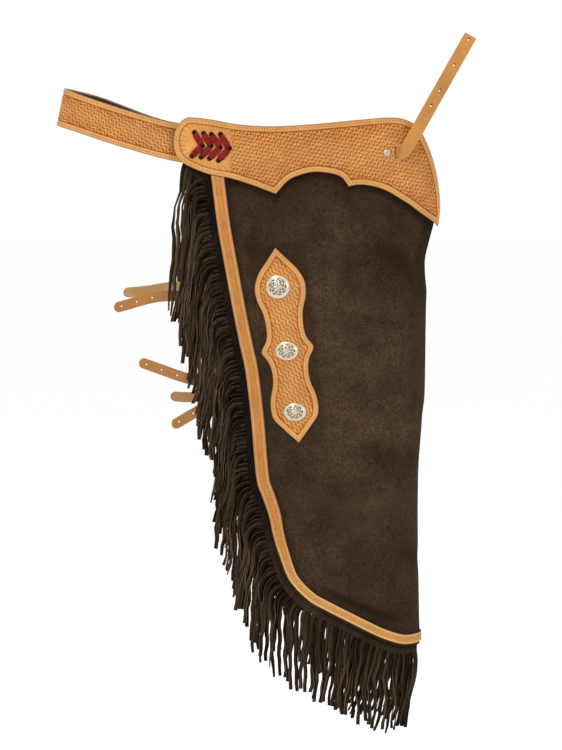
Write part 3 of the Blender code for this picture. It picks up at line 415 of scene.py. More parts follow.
class Look:
    """A Principled material and short ways to wire its nodes."""

    def __init__(self, name, roughness=0.5, metallic=0.0, base=None):
        self.material = bpy.data.materials.new(name)
        self.material.use_nodes = True
        self.tree = self.material.node_tree
        self.shader = self.tree.nodes["Principled BSDF"]
        self.set("Roughness", roughness)
        self.set("Metallic", metallic)
        if base is not None:
            self.set("Base Color", (*base, 1.0))

    def set(self, socket, value):
        """Set a number or colour that is the same all over."""
        self.shader.inputs[socket].default_value = value

    def node(self, kind, inputs=(), **settings):
        """Add a node, link or set its inputs and return it."""
        made = self.tree.nodes.new(kind)
        for key, value in settings.items():
            setattr(made, key, value)
        for key, value in dict(inputs).items():
            if isinstance(value, bpy.types.NodeSocket):
                self.tree.links.new(value, made.inputs[key])
            else:
                made.inputs[key].default_value = value
        return made

    def object_place(self):
        """Object coordinates."""
        return self.node("ShaderNodeTexCoord").outputs["Object"]

    def noise(self, scale, detail=3.0, roughness=0.5):
        """Noise on Object coordinates."""
        return self.node("ShaderNodeTexNoise", {"Vector": self.object_place(), "Scale": scale,
                                                "Detail": detail, "Roughness": roughness}
                         ).outputs["Fac"]

    def read(self, name):
        """The three numbers that a mesh attribute holds."""
        found = self.node("ShaderNodeAttribute", attribute_name=name).outputs["Vector"]
        return self.node("ShaderNodeSeparateXYZ", {0: found}).outputs

    def span(self, value, low, high, to_low=0.0, to_high=1.0):
        """Map a range of a value to another."""
        return self.node("ShaderNodeMapRange", {"Value": value, "From Min": low, "From Max": high,
                                                "To Min": to_low, "To Max": to_high}
                         ).outputs["Result"]

    def math(self, operation, first, second):
        """Sum, product or another rule of two values."""
        return self.node("ShaderNodeMath", {0: first, 1: second}, operation=operation
                         ).outputs["Value"]

    def mix(self, share, first, second, blend="MIX"):
        """Mix two colours."""
        made = self.node("ShaderNodeMix", data_type="RGBA", blend_type=blend)
        for key, value in ((0, share), (6, first), (7, second)):
            if isinstance(value, bpy.types.NodeSocket):
                self.tree.links.new(value, made.inputs[key])
            else:
                made.inputs[key].default_value = value if key == 0 else (*value, 1.0)
        return made.outputs[2]

    def link(self, output, socket):
        """Feed a shader socket."""
        self.tree.links.new(output, self.shader.inputs[socket])

    def bump(self, height, distance, strength=1.0):
        """Add a bump over what feeds the normal already."""
        inputs = {"Height": height, "Distance": distance, "Strength": strength}
        before = self.shader.inputs["Normal"].links
        if before:
            inputs["Normal"] = before[0].from_socket
        self.link(self.node("ShaderNodeBump", inputs).outputs["Normal"], "Normal")


def shade(value, factor):
    """A colour made lighter or darker."""
    return tuple(min(part * factor, 1.0) for part in value)


def tooled_look(colours):
    """Tanned leather whose stamped hollows hold darker dye, deepened with painted shade."""
    look = Look("stamped_tan", roughness=0.42)
    relief, antique, edge = look.read("tooling")
    cloud = look.span(look.noise(30.0, 4.0), 0.3, 0.7)
    fine = look.noise(700.0, 3.0)
    tan = look.mix(cloud, shade(colours.tan, 0.86), shade(colours.tan, 1.1))
    # Hollows go to the antique dye; where less dye is held they go to half the tan, which is painted
    # shade in the recesses.
    dye_and_shade = look.mix(look.math("MAXIMUM", antique, 0.0), shade(colours.tan, 0.5), colours.antique)
    stain = look.span(look.noise(75.0, 3.0), 0.34, 0.68, 0.06, 0.62)
    # antique also darkens the raised faces: dye soaked in, and on the yokes a painted shade along
    # the top edge.
    soaked = look.math("MULTIPLY", look.math("MAXIMUM", antique, 0.0), stain)
    face = look.mix(soaked, tan, shade(colours.antique, 2.2))
    body = look.mix(look.span(relief, 0.95, 0.15), face, dye_and_shade)
    grain = look.mix(look.span(fine, 0.35, 0.65, 0.0, 0.2), body, shade(colours.antique, 1.3))
    grain = look.mix(look.span(antique, 0.0, -1.0), grain, colours.pale)
    rim = look.mix(look.span(edge, 2.0, 0.5, 0.0, 0.9), grain, shade(colours.burnish, 1.3))
    # Relief below zero turns near black: painted shade in the lace holes and in the painted shadow
    # beside the yoke on the belt.
    look.link(look.mix(look.span(relief, -0.15, -0.7), rim, (0.012, 0.006, 0.004)), "Base Color")
    look.link(look.span(relief, 0.0, 1.0, 0.6, 0.4), "Roughness")
    look.set("Specular IOR Level", 0.1)
    look.bump(fine, 0.00012, 0.5)
    look.bump(look.noise(2400.0, 2.0), 0.00005, 0.4)
    return look.material


def plain_leather_look(name, base, roughness=0.5, grain=0.00012):
    """Smooth leather with a fine grain and cloudy dye."""
    look = Look(name, roughness=roughness)
    look.set("Specular IOR Level", 0.3)
    cloud = look.span(look.noise(24.0, 4.0), 0.3, 0.7)
    tone = look.mix(cloud, shade(base, 0.82), shade(base, 1.12))
    fine = look.noise(620.0, 3.0)
    look.link(look.mix(look.span(fine, 0.4, 0.6, 0.0, 0.25), tone, shade(base, 0.6)), "Base Color")
    look.bump(fine, grain, 0.6)
    return look.material


def lace_look(base):
    """Waxed lace, with painted shade where it dives into its holes."""
    look = Look("lace_leather", roughness=0.34)
    dark, _, _ = look.read("tooling")
    cloud = look.span(look.noise(140.0, 4.0), 0.3, 0.7)
    tone = look.mix(cloud, shade(base, 0.7), shade(base, 1.3))
    look.link(look.mix(dark, tone, shade(base, 0.12)), "Base Color")
    look.set("Specular IOR Level", 0.12)
    look.bump(look.noise(500.0, 3.0), 0.00012, 0.6)
    return look.material


def suede_look(name, base, light, with_painted_light=False, deep=0.3, bright=1.9, sheen=0.02):
    """Napped suede: brushed patches, short fibres and a soft sheen."""
    look = Look(name, roughness=0.95)
    broad = look.span(look.noise(4.5, 3.0, 0.5), 0.38, 0.62, 0.0, 0.5)
    brushed = look.span(look.noise(13.0, 6.0, 0.65), 0.38, 0.62)
    patch = look.span(look.noise(70.0, 4.0, 0.65), 0.35, 0.68, 0.0, 0.6)
    fibre = look.noise(800.0, 3.0, 0.7)
    tone = look.mix(brushed, shade(base, 0.36), shade(base, light * 1.3))
    tone = look.mix(broad, tone, shade(base, 0.55))
    tone = look.mix(patch, tone, shade(base, 0.4))
    ruddy = look.span(look.noise(19.0, 4.0, 0.6), 0.45, 0.7, 0.0, 0.55)
    tone = look.mix(ruddy, tone, (base[0] * light * 1.1, base[1] * light * 0.82,
                                  base[2] * light * 0.85))
    nap = look.noise(230.0, 3.0, 0.7)
    tone = look.mix(look.span(nap, 0.54, 0.4, 0.0, 0.7), tone, shade(base, 0.3))
    tone = look.mix(look.span(fibre, 0.42, 0.66, 0.0, 0.6), tone, shade(base, light * 1.7))
    if with_painted_light:
        # Here the tooling attribute brings painted shade (dark, towards deep times the base) and
        # painted highlight (lift, towards bright times the light); on the panels dark also darkens
        # towards the hem.
        dark, lift, _ = look.read("tooling")
        tone = look.mix(dark, tone, shade(base, deep))
        tone = look.mix(lift, tone, shade(base, light * bright))
    look.link(tone, "Base Color")
    look.set("Sheen Weight", sheen)
    look.set("Sheen Roughness", 0.6)
    look.set("Sheen Tint", (0.8, 0.6, 0.4, 1.0))
    look.set("Specular IOR Level", sheen * 2)
    look.bump(fibre, 0.0003, 0.7)
    look.bump(look.noise(160.0, 3.0), 0.0004, 0.4)
    return look.material


def metal_look(name, base, roughness, engraved=False):
    """Plated metal, with dark finish in engraved lines."""
    look = Look(name, roughness=roughness, metallic=1.0)
    worn = look.span(look.noise(260.0, 4.0), 0.3, 0.7)
    tone = look.mix(worn, shade(base, 0.9), base)
    if engraved:
        relief, _, _ = look.read("tooling")
        tone = look.mix(look.span(relief, 0.6, 0.05), tone, (0.07, 0.06, 0.045))
        look.link(look.span(relief, 0.0, 0.8, 0.6, roughness), "Roughness")
    look.link(tone, "Base Color")
    look.bump(look.noise(900.0, 2.0), 0.00004, 0.4)
    return look.material


def looks():
    """Every finish, made once and kept by name."""
    if "stamped_tan" not in bpy.data.materials:
        colours = bpy.context.scene.chaps_colours
        tooled_look(colours)
        plain_leather_look("flesh_side", colours.flesh, 0.85, 0.0003)
        plain_leather_look("burnished_edge", colours.burnish, 0.4)
        plain_leather_look("plain_tan", colours.strap, 0.45)
        plain_leather_look("leg_strap_tan", colours.leg_strap, 0.5)
        plain_leather_look("dark_brown", (0.05, 0.032, 0.022), 0.5)
        plain_leather_look("lining_leather", (0.008, 0.0075, 0.007), 0.55)
        lace_look(colours.lace)
        suede_look("panel_suede", colours.suede, 2.1, with_painted_light=True)
        suede_look("fringe_suede", colours.fringe, 2.4, with_painted_light=True, deep=0.05, bright=3.1,
                   sheen=0.004)
        suede_look("fringe_cut_edge", colours.cut, 1.3)
        metal_look("concho_silver", colours.silver, 0.22, engraved=True)
        metal_look("nickel_plate", (0.46, 0.43, 0.37), 0.36)
        plain_leather_look("thread", colours.thread, 0.7, 0.0002)
        # awl_hole: near-black dots that paint the shade inside the awl holes.
        plain_leather_look("awl_hole", (0.03, 0.015, 0.008), 0.9)
    return bpy.data.materials


# Mesh helpers

def keep_piece(name, build, slots, record_slot, replaces=(), smooth=True, thickness=0.0,
               inner=0, rim=0, offset=-1.0, sharp=38.0):
    """Finish a bmesh as a piece that rides on the body, with its leather thickness if it is open."""
    mesh = bpy.data.meshes.new(name)
    build.to_mesh(mesh)
    build.free()
    materials = looks()
    for slot in slots:
        mesh.materials.append(materials[slot])
    if smooth:
        mesh.shade_smooth()
        mesh.set_sharp_from_angle(angle=math.radians(sharp))
    piece = bpy.data.objects.new(name, mesh)
    bpy.context.scene.collection.objects.link(piece)
    if thickness:
        wall = piece.modifiers.new("leather", "SOLIDIFY")
        wall.thickness = thickness * MM
        wall.offset = offset
        wall.use_even_offset = False
        wall.material_offset = inner
        wall.material_offset_rim = rim
    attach(piece, "root")
    nodes = [node for node in replaces if node]
    if nodes:
        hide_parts(*nodes)
    return piece


def mirrored_build(build):
    """Left-hand copy of a right-hand bmesh."""
    copy = build.copy()
    bmesh.ops.scale(copy, vec=(1.0, -1.0, 1.0), verts=copy.verts)
    bmesh.ops.reverse_faces(copy, faces=copy.faces)
    return copy


def both_sides(name, build, slots, record_slot, replaces=True, **settings):
    """Keep a right-hand piece and its mirror image."""
    left = mirrored_build(build)
    made = []
    for side, shape in zip(ALL_SIDES, (build, left)):
        full = f"{side}_{name}"
        made.append(keep_piece(f"{full}_dressed", shape, slots, record_slot,
                               (full,) if replaces else (), **settings))
    return made


def grid_build(points, attributes=None):
    """Bmesh grid moved to an array of points, rows by columns, with one vector for each vertex."""
    rows, columns = points.shape[0] - 1, points.shape[1] - 1
    build = bmesh.new()
    bmesh.ops.create_grid(build, x_segments=columns, y_segments=rows, size=0.5)
    layer = build.verts.layers.float_vector.new("tooling")
    for vertex in build.verts:
        column = round((vertex.co.x + 0.5) * columns)
        row = round((vertex.co.y + 0.5) * rows)
        vertex.co = points[row, column]
        if attributes is not None:
            vertex[layer] = attributes[row, column]
    return build


def flat_grid(columns, rows, flat_at):
    """Array of flat pattern points, rows by columns."""
    return np.array([[tuple(flat_at(c / columns, r / rows)) for c in range(columns + 1)]
                     for r in range(rows + 1)])


def edge_distance(flats):
    """Distance of each flat point to the outline of its grid, in millimetres."""
    outline = np.vstack((flats[0], flats[:, -1], flats[-1][::-1], flats[::-1, 0]))
    outline = outline[::2]
    starts, ends = outline[:-1], outline[1:]
    steps = ends - starts
    lengths = np.maximum((steps ** 2).sum(1), 1e-9)
    spots = flats.reshape(-1, 2)
    found = np.empty(len(spots))
    for low in range(0, len(spots), 4000):
        some = spots[low:low + 4000]
        away = some[:, None, :] - starts[None]
        share = np.clip((away * steps).sum(2) / lengths, 0.0, 1.0)
        gap = away - share[..., None] * steps
        found[low:low + 4000] = np.sqrt((gap ** 2).sum(2).min(1))
    return found.reshape(flats.shape[:2])


def smooth_share(value, low, high):
    """Smooth rise from 0 at low to 1 at high."""
    f = np.clip((value - low) / (high - low), 0.0, 1.0)
    return f * f * (3 - 2 * f)


def basket(u, v, angle, long, wide, bend=0.8, cross=0.5):
    """Rise of overlapping basket stamps: woven ribbons between zigzag hollows, from 0 to 1."""
    cos, sin = math.cos(math.radians(angle)), math.sin(math.radians(angle))
    x, y = (u * cos + v * sin) / long, (v * cos - u * sin) / wide
    y = y + bend * smooth_share(np.abs(np.mod(x, 1.0) * 2 - 1), 0.12, 0.88)
    row = np.floor(y)
    across = np.abs((y - row) * 2 - 1)
    seam = smooth_share(across, 0.38, 1.0)
    end = smooth_share(np.abs(np.mod(x + 0.5 * np.mod(row, 2), 1.0) * 2 - 1), 0.75, 1.0)
    return np.clip(1 - seam - cross * end * smooth_share(across, 0.0, 0.6), 0, 1)


def stipple(u, v, pitch):
    """Uneven small pebbles, from 0 to 1."""
    bend = 0.8 * np.sin(u / pitch * 1.7 + 1.3 * np.sin(v / pitch))
    return 0.5 + 0.5 * np.sin(u / pitch * 6.2 + bend * 2) * np.sin(v / pitch * 5.1 + 2.1 * bend)


def leather_edge(edge, round_to):
    """Drop of the face where a cut edge is rounded, in millimetres."""
    short = np.clip(1 - edge / round_to, 0.0, 1.0)
    return round_to * (1 - np.sqrt(1 - short ** 2)) * 0.8


def band_tooling(edge, pattern, band, depth):
    """Drop and tone of tooled leather: plain band, tooled line, then the pattern."""
    line = np.exp(-((edge - band) / 0.8) ** 2)
    inside = smooth_share(edge, band, band + 1.0)
    channel = np.exp(-((edge - band * 0.48) / 0.7) ** 2)
    drop = inside * (1 - pattern) * depth + line * depth * 1.1 + channel * depth * 0.35
    relief = 1 - inside * (1 - pattern) - line - channel * 0.2
    antique = np.exp(-np.maximum(edge - band, 0) / 7.0) * smooth_share(edge, band - 1.5, band)
    return drop, np.clip(relief, 0, 1), antique


def wrap(flats, face, drop):
    """Points in metres of flat points at a distance out of the leg, less their drop."""
    points = np.empty((*flats.shape[:2], 3))
    for r in range(flats.shape[0]):
        for c in range(flats.shape[1]):
            points[r, c] = place(flats[r, c, 0], flats[r, c, 1], face - drop[r, c])
    return points


def sew(build_thread, build_hole, line, start, end, pitch, put):
    """Lay stitches and their awl holes along a line; put gives the placing at a distance."""
    count = max(round((end - start) / pitch), 1)
    step = (end - start) / count
    for index in range(count):
        middle = start + (index + 0.5) * step
        thread = bmesh.ops.create_icosphere(build_thread, subdivisions=1, radius=1.0)["verts"]
        size = Matrix.Diagonal((step * 0.34 * MM, 0.5 * MM, 0.3 * MM, 1.0))
        bmesh.ops.transform(build_thread, matrix=put(line, middle) @ size, verts=thread)
        # Each awl hole is a small dark dot on the face: painted shade of the hole.
        hole = bmesh.ops.create_icosphere(build_hole, subdivisions=1, radius=1.0)["verts"]
        size = Matrix.Diagonal((0.8 * MM, 0.8 * MM, 0.3 * MM, 1.0))
        bmesh.ops.transform(build_hole, matrix=put(line, middle + step / 2) @ size, verts=hole)


def leg_put(face, drop):
    """Placing of a stitch on the leg, turned along its line."""
    def put(line, mark):
        spot, heading = line.at(mark), line.heading(mark)
        turn = Matrix.Rotation(math.atan2(heading.y, heading.x), 4, "Z")
        point, outward, forward = surface_frame(spot.x, spot.y)
        seat = Matrix((forward, Vector((0, 0, 1)), outward)).transposed().to_4x4()
        return Matrix.Translation((point + outward * (face - drop)) * MM) @ seat @ turn
    return put


def inset_line(points, inset):
    """Line set in from a closed or open run of flat points, to the left of its heading."""
    line = Line(points, steps=1)
    count = max(round(line.length / 4.0), 2)
    marks = [line.length * i / count for i in range(count + 1)]
    return Line([tuple(line.at(m) + line.inward(m) * inset) for m in marks], steps=2)


def finish_sewing(name, builds, nodes_slot="tooled_leather"):
    """Keep the thread and awl holes of a piece."""
    for word, build in zip(("thread", "awl_hole"), builds):
        keep_piece(f"{name}_{word}", build, (word,), nodes_slot)


class ChapsPart:
    """What every operator of the chaps shares."""
    bl_options = {"REGISTER", "UNDO"}


class CHAPS_OT_leg_panels(ChapsPart, bpy.types.Operator):
    """Suede leg panels with their soft creases"""
    bl_idname = "chaps.leg_panels"
    bl_label = "Leg panels"

    def execute(self, context):
        corner = EDGE.nearest(PANEL_CORNER)

        def flat_at(across, up):
            down = 1 - up
            top, hem = TOP.at(TOP.length * across), EDGE.at(corner + (EDGE.length - corner) * across)
            back, inner = EDGE.at(corner * down), INNER.at(INNER.length * down)
            corners = ((TOP.at(0.0) * (1 - across) + TOP.at(TOP.length) * across) * up
                       + (EDGE.at(corner) * (1 - across) + EDGE.at(EDGE.length) * across) * down)
            return top * up + hem * down + back * (1 - across) + inner * across - corners

        flats = flat_grid(130, 150, flat_at)
        edge = edge_distance(flats)
        free = smooth_share(edge, BORDER_WIDE, BORDER_WIDE + 14.0)
        drop, dark = np.zeros(edge.shape), np.zeros(edge.shape)
        for start, end, bow, half, depth in CREASES:
            start, end = np.array(start), np.array(end)
            span = end - start
            long = math.hypot(*span)
            along = ((flats - start) @ span) / long ** 2
            aside = (flats - start) @ (np.array((-span[1], span[0])) / long)
            aside = aside - bow * 4 * along * (1 - along)
            ends = np.clip(np.sin(np.clip(along, 0, 1) * math.pi), 0, 1) ** 0.7
            fold = np.exp(-(aside / half) ** 2) * ends
            drop += fold * depth
            # Crease troughs are darkened by their depth: painted shade in the creases.
            dark += fold * max(depth, 0.0) * 0.5
        under_patch = smooth_share(patch_distance(flats), 0.0, 16.0)
        drop *= free * under_patch
        dark = np.clip(dark * free, 0, 0.8)
        below = np.vectorize(yoke_low)(flats[..., 0]) - flats[..., 1]
        # Painted shadow on the suede round the patch.
        dark += 0.25 * np.exp(-(patch_distance(flats) / 5.0) ** 2)
        # Painted shadow under the yoke, deepest at its edge and fading down to about 240 mm below
        # it.
        dark += 0.55 * np.exp(-(below / 11.0) ** 2) + 0.38 * (1 - smooth_share(below, 20.0, 240.0))
        # Darker towards the hem, from about 400 mm below the yoke.
        dark += 0.26 * smooth_share(below, 380.0, 490.0)
        # Painted shadow on the suede beside the border.
        dark += 0.35 * np.exp(-(np.maximum(edge - BORDER_WIDE, 0) / 6.0) ** 2)
        # tones holds the darkening (painted shade, and the darker lower leg), a painted highlight on
        # the raised creases, and the distance to the edge.
        tones = np.dstack((np.clip(dark, 0, 0.9), 0.12 * np.clip(-drop, 0, 1), edge))
        build = grid_build(wrap(flats, 0.0, drop), tones)
        panels = both_sides("leg_panel", build, ("panel_suede", "panel_suede", "fringe_cut_edge"),
                            "suede", thickness=PANEL_THICK, inner=1, rim=2)
        return {"FINISHED"}


def patch_flat():
    """Start, axis and sideways direction of the patch on the flat pattern."""
    start, end = Vector(PATCH_START), Vector(PATCH_END)
    axis = (end - start).normalized()
    return start, axis, Vector((-axis.y, axis.x))


def patch_distance(flats):
    """Rough distance of flat points outside the patch."""
    start, axis, across = patch_flat()
    away = flats - np.array(start)
    mark, aside = away @ np.array(axis), np.abs(away @ np.array(across))
    long = PATCH_ROWS[-1][0]
    beyond = np.maximum(np.maximum(-mark, mark - long), 0.0)
    return np.maximum(beyond, aside - 38.0)


class CHAPS_OT_yokes(ChapsPart, bpy.types.Operator):
    """Basket-stamped hip yokes with their edge bands, lacing holes and strap slot"""
    bl_idname = "chaps.yokes"
    bl_label = "Hip yokes"

    def execute(self, context):
        sizes = context.scene.chaps_sizes
        start, end = YOKE_TOP[0][0], YOKE_TOP[-1][0]

        def flat_at(across, up):
            ease = across ** 1.0
            along = start + (end - start) * ease
            low = yoke_low(along)
            high = max(read_row(YOKE_TOP, along, 1), low + 0.5)
            return along, low + (high - low) * up

        flats = flat_grid(370, 92, flat_at)
        edge = edge_distance(flats)
        u, v = flats[..., 0], flats[..., 1]
        stamps = basket(u, v, 24.0, 9.4, 6.3)
        centre_u, centre_v = u + 60.0, v + 9.0
        band = sizes.band_wide / MM
        stroke = np.exp(-(np.sin(np.arctan2(centre_v, centre_u) * 17.0) / 0.42) ** 2)
        rays = 1 - stroke * (1 - smooth_share(edge, band + 7.0, band + 13.0)) * 0.45
        near_lace = smooth_share(-u, 22.0, 34.0)
        pattern = stamps * (1 - near_lace) + near_lace * rays
        drop, relief, antique = band_tooling(edge, pattern, band, sizes.tool_depth / MM)
        # The antique share is raised over the upper rear of the yoke, and top_gap adds a painted
        # shade along the yoke's top edge.
        upper = smooth_share(v, -30.0, 20.0) * smooth_share(u, -10.0, 40.0)
        upper *= 1 - 0.75 * smooth_share(u, 120.0, 200.0)
        top_gap = flats[-1, :, 1][None, :] - v
        inside = smooth_share(edge, band, band + 1.5)
        antique = antique + inside * (0.5 + 0.5 * upper) + 0.75 * np.exp(-(top_gap / 9.0) ** 2)
        antique = np.clip(antique, 0, 1) * (1 - 0.35 * near_lace)
        # Each lace hole is sunk and its relief pushed below zero, which paints it near black:
        # painted shade in the hole.
        for chevron in LACE_CHEVRONS:
            for hole in chevron:
                near = 1 - smooth_share(np.hypot(u - hole[0], v - hole[1]), 3.0, 4.3)
                drop += near * 1.6
                relief -= near * 2.0
        drop += leather_edge(edge, sizes.edge_round / MM)
        drop *= smooth_share(u - start, 1.2, 4.0)
        relief = np.clip(relief, -1, 1)
        build = grid_build(wrap(flats, YOKE_FACE, drop), np.dstack((relief, antique, edge)))
        cut_slot(build, flats)
        yokes = both_sides("yoke", build, ("stamped_tan", "flesh_side", "burnished_edge"),
                           "tooled_leather", thickness=YOKE_THICK, inner=1, rim=2)
        return {"FINISHED"}


def cut_slot(build, flats):
    """Open the strap slot in the yoke's grid."""
    centre = place(*SLOT_AT, YOKE_FACE)
    half_wide, half_tall = SLOT_WIDE / 2 * MM, SLOT_TALL / 2 * MM
    inside = []
    for face in build.faces:
        middle = face.calc_center_median()
        if (abs(middle.x - centre.x) < half_wide and abs(middle.z - centre.z) < half_tall
                and middle.y < -0.14):
            inside.append(face)
    bmesh.ops.delete(build, geom=inside, context="FACES")


def outline_points(flat_at, columns):
    """Flat points along the lower edge of a yoke's pattern, from its rear forward."""
    return [flat_at(c / columns, 0.0) for c in range(columns + 1)]


def border_edges(mark):
    """How far in from the panel's edge the border starts and ends; it narrows round the hem."""
    hem = float(smooth_share(mark, 470.0, 640.0))
    return 4.2 * hem, BORDER_WIDE - 0.9 * hem


class CHAPS_OT_borders(ChapsPart, bpy.types.Operator):
    """Tooled border strips along the back edges and hems"""
    bl_idname = "chaps.borders"
    bl_label = "Borders"

    def execute(self, context):
        sizes = context.scene.chaps_sizes
        start = EDGE.nearest((BACK_EDGE[0][0], yoke_low(BACK_EDGE[0][0]) - SEAM_GAP))
        long = EDGE.length - 0.5 - start

        def flat_at(across, up):
            mark = start + long * across
            low, high = border_edges(mark)
            spot = EDGE.at(mark) + EDGE.inward(mark) * (low + (high - low) * up)
            if mark - start < 6.0:
                spot.y = min(spot.y, yoke_low(spot.x) - SEAM_GAP - 0.3)
            return spot

        columns, rows = 760, 22
        flats = flat_grid(columns, rows, flat_at)
        shares = np.linspace(0, 1, rows + 1)[:, None]
        marks = np.linspace(0, long, columns + 1)[None, :] + 0 * shares
        widths = np.array([np.subtract(*border_edges(start + m)[::-1]) for m in marks[0]])
        edge = np.minimum(shares, 1 - shares) * widths
        pebbles = stipple(marks, shares * BORDER_WIDE, 3.1)
        aside = (shares - 0.5) * BORDER_WIDE
        rope = basket(marks, aside + 0.9 * np.sin(marks / 3.3), 52.0, 8.4, 3.7)
        pattern = np.clip(0.75 * rope + 0.25 * pebbles, 0, 1)
        band = 0.26 * widths
        drop, relief, antique = band_tooling(edge, pattern, band, sizes.tool_depth / MM)
        relief = relief + (1 - relief) * 0.5 * np.exp(-((edge - band) / 1.0) ** 2)
        hem = smooth_share(marks, 500.0, 640.0)
        inside = smooth_share(edge, band - 1.0, band + 0.5)
        antique = (0.78 - 0.48 * hem) * inside - hem * (1 - inside)
        relief = relief + (1 - relief) * (0.12 + 0.23 * hem)
        drop += leather_edge(edge, sizes.edge_round / MM)
        build = grid_build(wrap(flats, TRIM_FACE, drop), np.dstack((relief, antique, edge)))
        borders = both_sides("border", build, ("stamped_tan", "flesh_side", "burnished_edge"),
                             "tooled_leather", thickness=TRIM_THICK, inner=1, rim=2)
        return {"FINISHED"}


class CHAPS_OT_patches(ChapsPart, bpy.types.Operator):
    """Pointed basket-stamped patches on the thighs"""
    bl_idname = "chaps.patches"
    bl_label = "Patches"

    def execute(self, context):
        sizes = context.scene.chaps_sizes
        start, axis, across = patch_flat()
        long = PATCH_ROWS[-1][0]

        def flat_at(aside, up):
            mark = long * (1 - up)
            half = read_row(PATCH_ROWS, mark, 1)
            return start + axis * mark + across * half * (2 * aside - 1)

        flats = flat_grid(60, 230, flat_at)
        edge = edge_distance(flats)
        pattern = basket(flats[..., 0], flats[..., 1], -50.0, 12.0, 5.6, bend=0.42,
                         cross=0.8)
        drop, relief, antique = band_tooling(edge, pattern, sizes.band_wide / MM * 0.92,
                                             sizes.tool_depth / MM)
        antique = np.clip(antique * 0.85 + 0.2 * (edge > sizes.band_wide / MM * 0.92), 0, 1)
        relief = relief + (1 - relief) * 0.15
        drop += leather_edge(edge, sizes.edge_round / MM)
        build = grid_build(wrap(flats, TRIM_FACE, drop), np.dstack((relief, antique, edge)))
        patches = both_sides("patch", build, ("stamped_tan", "flesh_side", "burnished_edge"),
                             "tooled_leather", thickness=TRIM_THICK, inner=1, rim=2)
        return {"FINISHED"}


def belt_plan(step=1.3):
    """Points and outward directions of the belt's right half, from the yoke to centre back."""
    plan = []
    count = round((BELT_FRONT_END - BELT_LEAVES_YOKE) / step)
    for index in range(count + 1):
        along = BELT_FRONT_END + (BELT_LEAVES_YOKE - BELT_FRONT_END) * index / count
        point, outward, _ = surface_frame(along, 0.0)
        plan.append((point, outward))
    point, outward = plan[-1]
    heading = math.atan2(-outward.x, -outward.y)
    for length, turn_to in BELT_STRETCHES:
        count = round(length / step)
        turn = (math.radians(turn_to) - heading) / count
        for _ in range(count):
            middle = heading + turn / 2
            point = point + Vector((-math.cos(middle), math.sin(middle), 0.0)) * length / count
            heading += turn
            plan.append((point, Vector((-math.sin(heading), -math.cos(heading), 0.0))))
    off = plan[-1][0].y
    reach = len(plan) - 1
    for index, (spot, _) in enumerate(plan):
        spot.y -= off * smooth_share(index / reach, 0.55, 1.0)
    plan[-1] = (Vector((plan[-1][0].x, 0.0, 0.0)), Vector((-1.0, 0.0, 0.0)))
    return plan


def belt_spot(point, outward, rise, out):
    """Point in metres on the belt, by its rise above the belt's middle and its distance out."""
    middle, flare = read_row(BELT_ROWS, point.x, 1), read_row(BELT_ROWS, point.x, 2)
    if point.y > 0:
        off = min(abs(point.x - BELT_LEFT_RISE_AT) / BELT_LEFT_RISE_REACH, 1.0)
        rise_here = BELT_LEFT_RISE * smooth_share(point.y, 0, 70)
        middle += rise_here * (1 + math.cos(math.pi * off)) / 2
    spot = point + outward * (out - flare * rise)
    return Vector((spot.x, spot.y, middle + rise)) * MM


class CHAPS_OT_belt(ChapsPart, bpy.types.Operator):
    """Back belt, its black lining and its two rows of stitches"""
    bl_idname = "chaps.belt"
    bl_label = "Back belt"

    def execute(self, context):
        sizes = context.scene.chaps_sizes
        right = belt_plan()
        left = [(Vector((p.x, -p.y, 0.0)), Vector((o.x, -o.y, 0.0))) for p, o in right[:-1]]
        plan = left + right[::-1]
        marks = [0.0]
        for (low, _), (high, _) in zip(plan, plan[1:]):
            marks.append(marks[-1] + (high - low).length)
        rows = 44
        rises = BELT_WIDE * (np.arange(rows + 1) / rows - 0.5)
        u, v = np.meshgrid(np.array(marks), rises)
        edge = BELT_WIDE / 2 - np.abs(v)
        drop, relief, antique = band_tooling(edge, basket(u, v, -45.0, 11.5, 6.8),
                                             sizes.band_wide / MM, sizes.tool_depth / MM)
        antique = np.clip(antique + 0.45 * (edge > sizes.band_wide / MM), 0, 1)
        drop += leather_edge(edge, sizes.edge_round / MM)
        # Painted shadow on the belt beside the yoke's rear end: the relief is lowered there so the
        # tooled face darkens.
        beside = np.array([abs(p.x - BELT_LEAVES_YOKE) for p, _ in plan])
        relief -= 0.45 * np.exp(-(beside / 7.0) ** 2)[None, :]
        points = np.array([[belt_spot(p, o, rises[r], -drop[r, c])
                            for c, (p, o) in enumerate(plan)] for r in range(rows + 1)])
        build = grid_build(points, np.dstack((relief, antique, edge)))
        belt = keep_piece("back_belt_dressed", build,
                          ("stamped_tan", "flesh_side", "burnished_edge"), "tooled_leather",
                          ("back_belt",), thickness=BELT_THICK, inner=1, rim=2)
        few = plan[::4] if (len(plan) - 1) % 4 == 0 else plan[::4] + plan[-1:]
        tall = (-LINING_WIDE / 2, -LINING_WIDE / 4, 0.0, LINING_WIDE / 4, LINING_WIDE / 2)
        points = np.array([[belt_spot(p, o, rise, -BELT_THICK - SEAM_GAP) for p, o in few]
                           for rise in tall])
        lining = keep_piece("belt_lining_dressed", grid_build(points), ("lining_leather",),
                            "lining", ("belt_lining",), thickness=LINING_THICK)

        path = Line([(mark, 0.0) for mark in marks], steps=1)

        def put(rise):
            def at(line, mark):
                index = min(int(np.searchsorted(marks, mark)), len(plan) - 2)
                point, outward = plan[index]
                ahead = belt_spot(*plan[index + 1], rise, 0.0) - belt_spot(point, outward, rise, 0.0)
                ahead.normalize()
                turn = Matrix((ahead, outward.cross(ahead), outward)).transposed().to_4x4()
                return Matrix.Translation(belt_spot(point, outward, rise, 0.0)) @ turn
            return at

        builds = bmesh.new(), bmesh.new()
        hidden = 55.0
        for side in (-1, 1):
            rise = side * (BELT_WIDE / 2 - sizes.stitch_inset / MM)
            sew(*builds, path, hidden, path.length - hidden, sizes.stitch_pitch / MM, put(rise))
        finish_sewing("belt", builds)
        return {"FINISHED"}


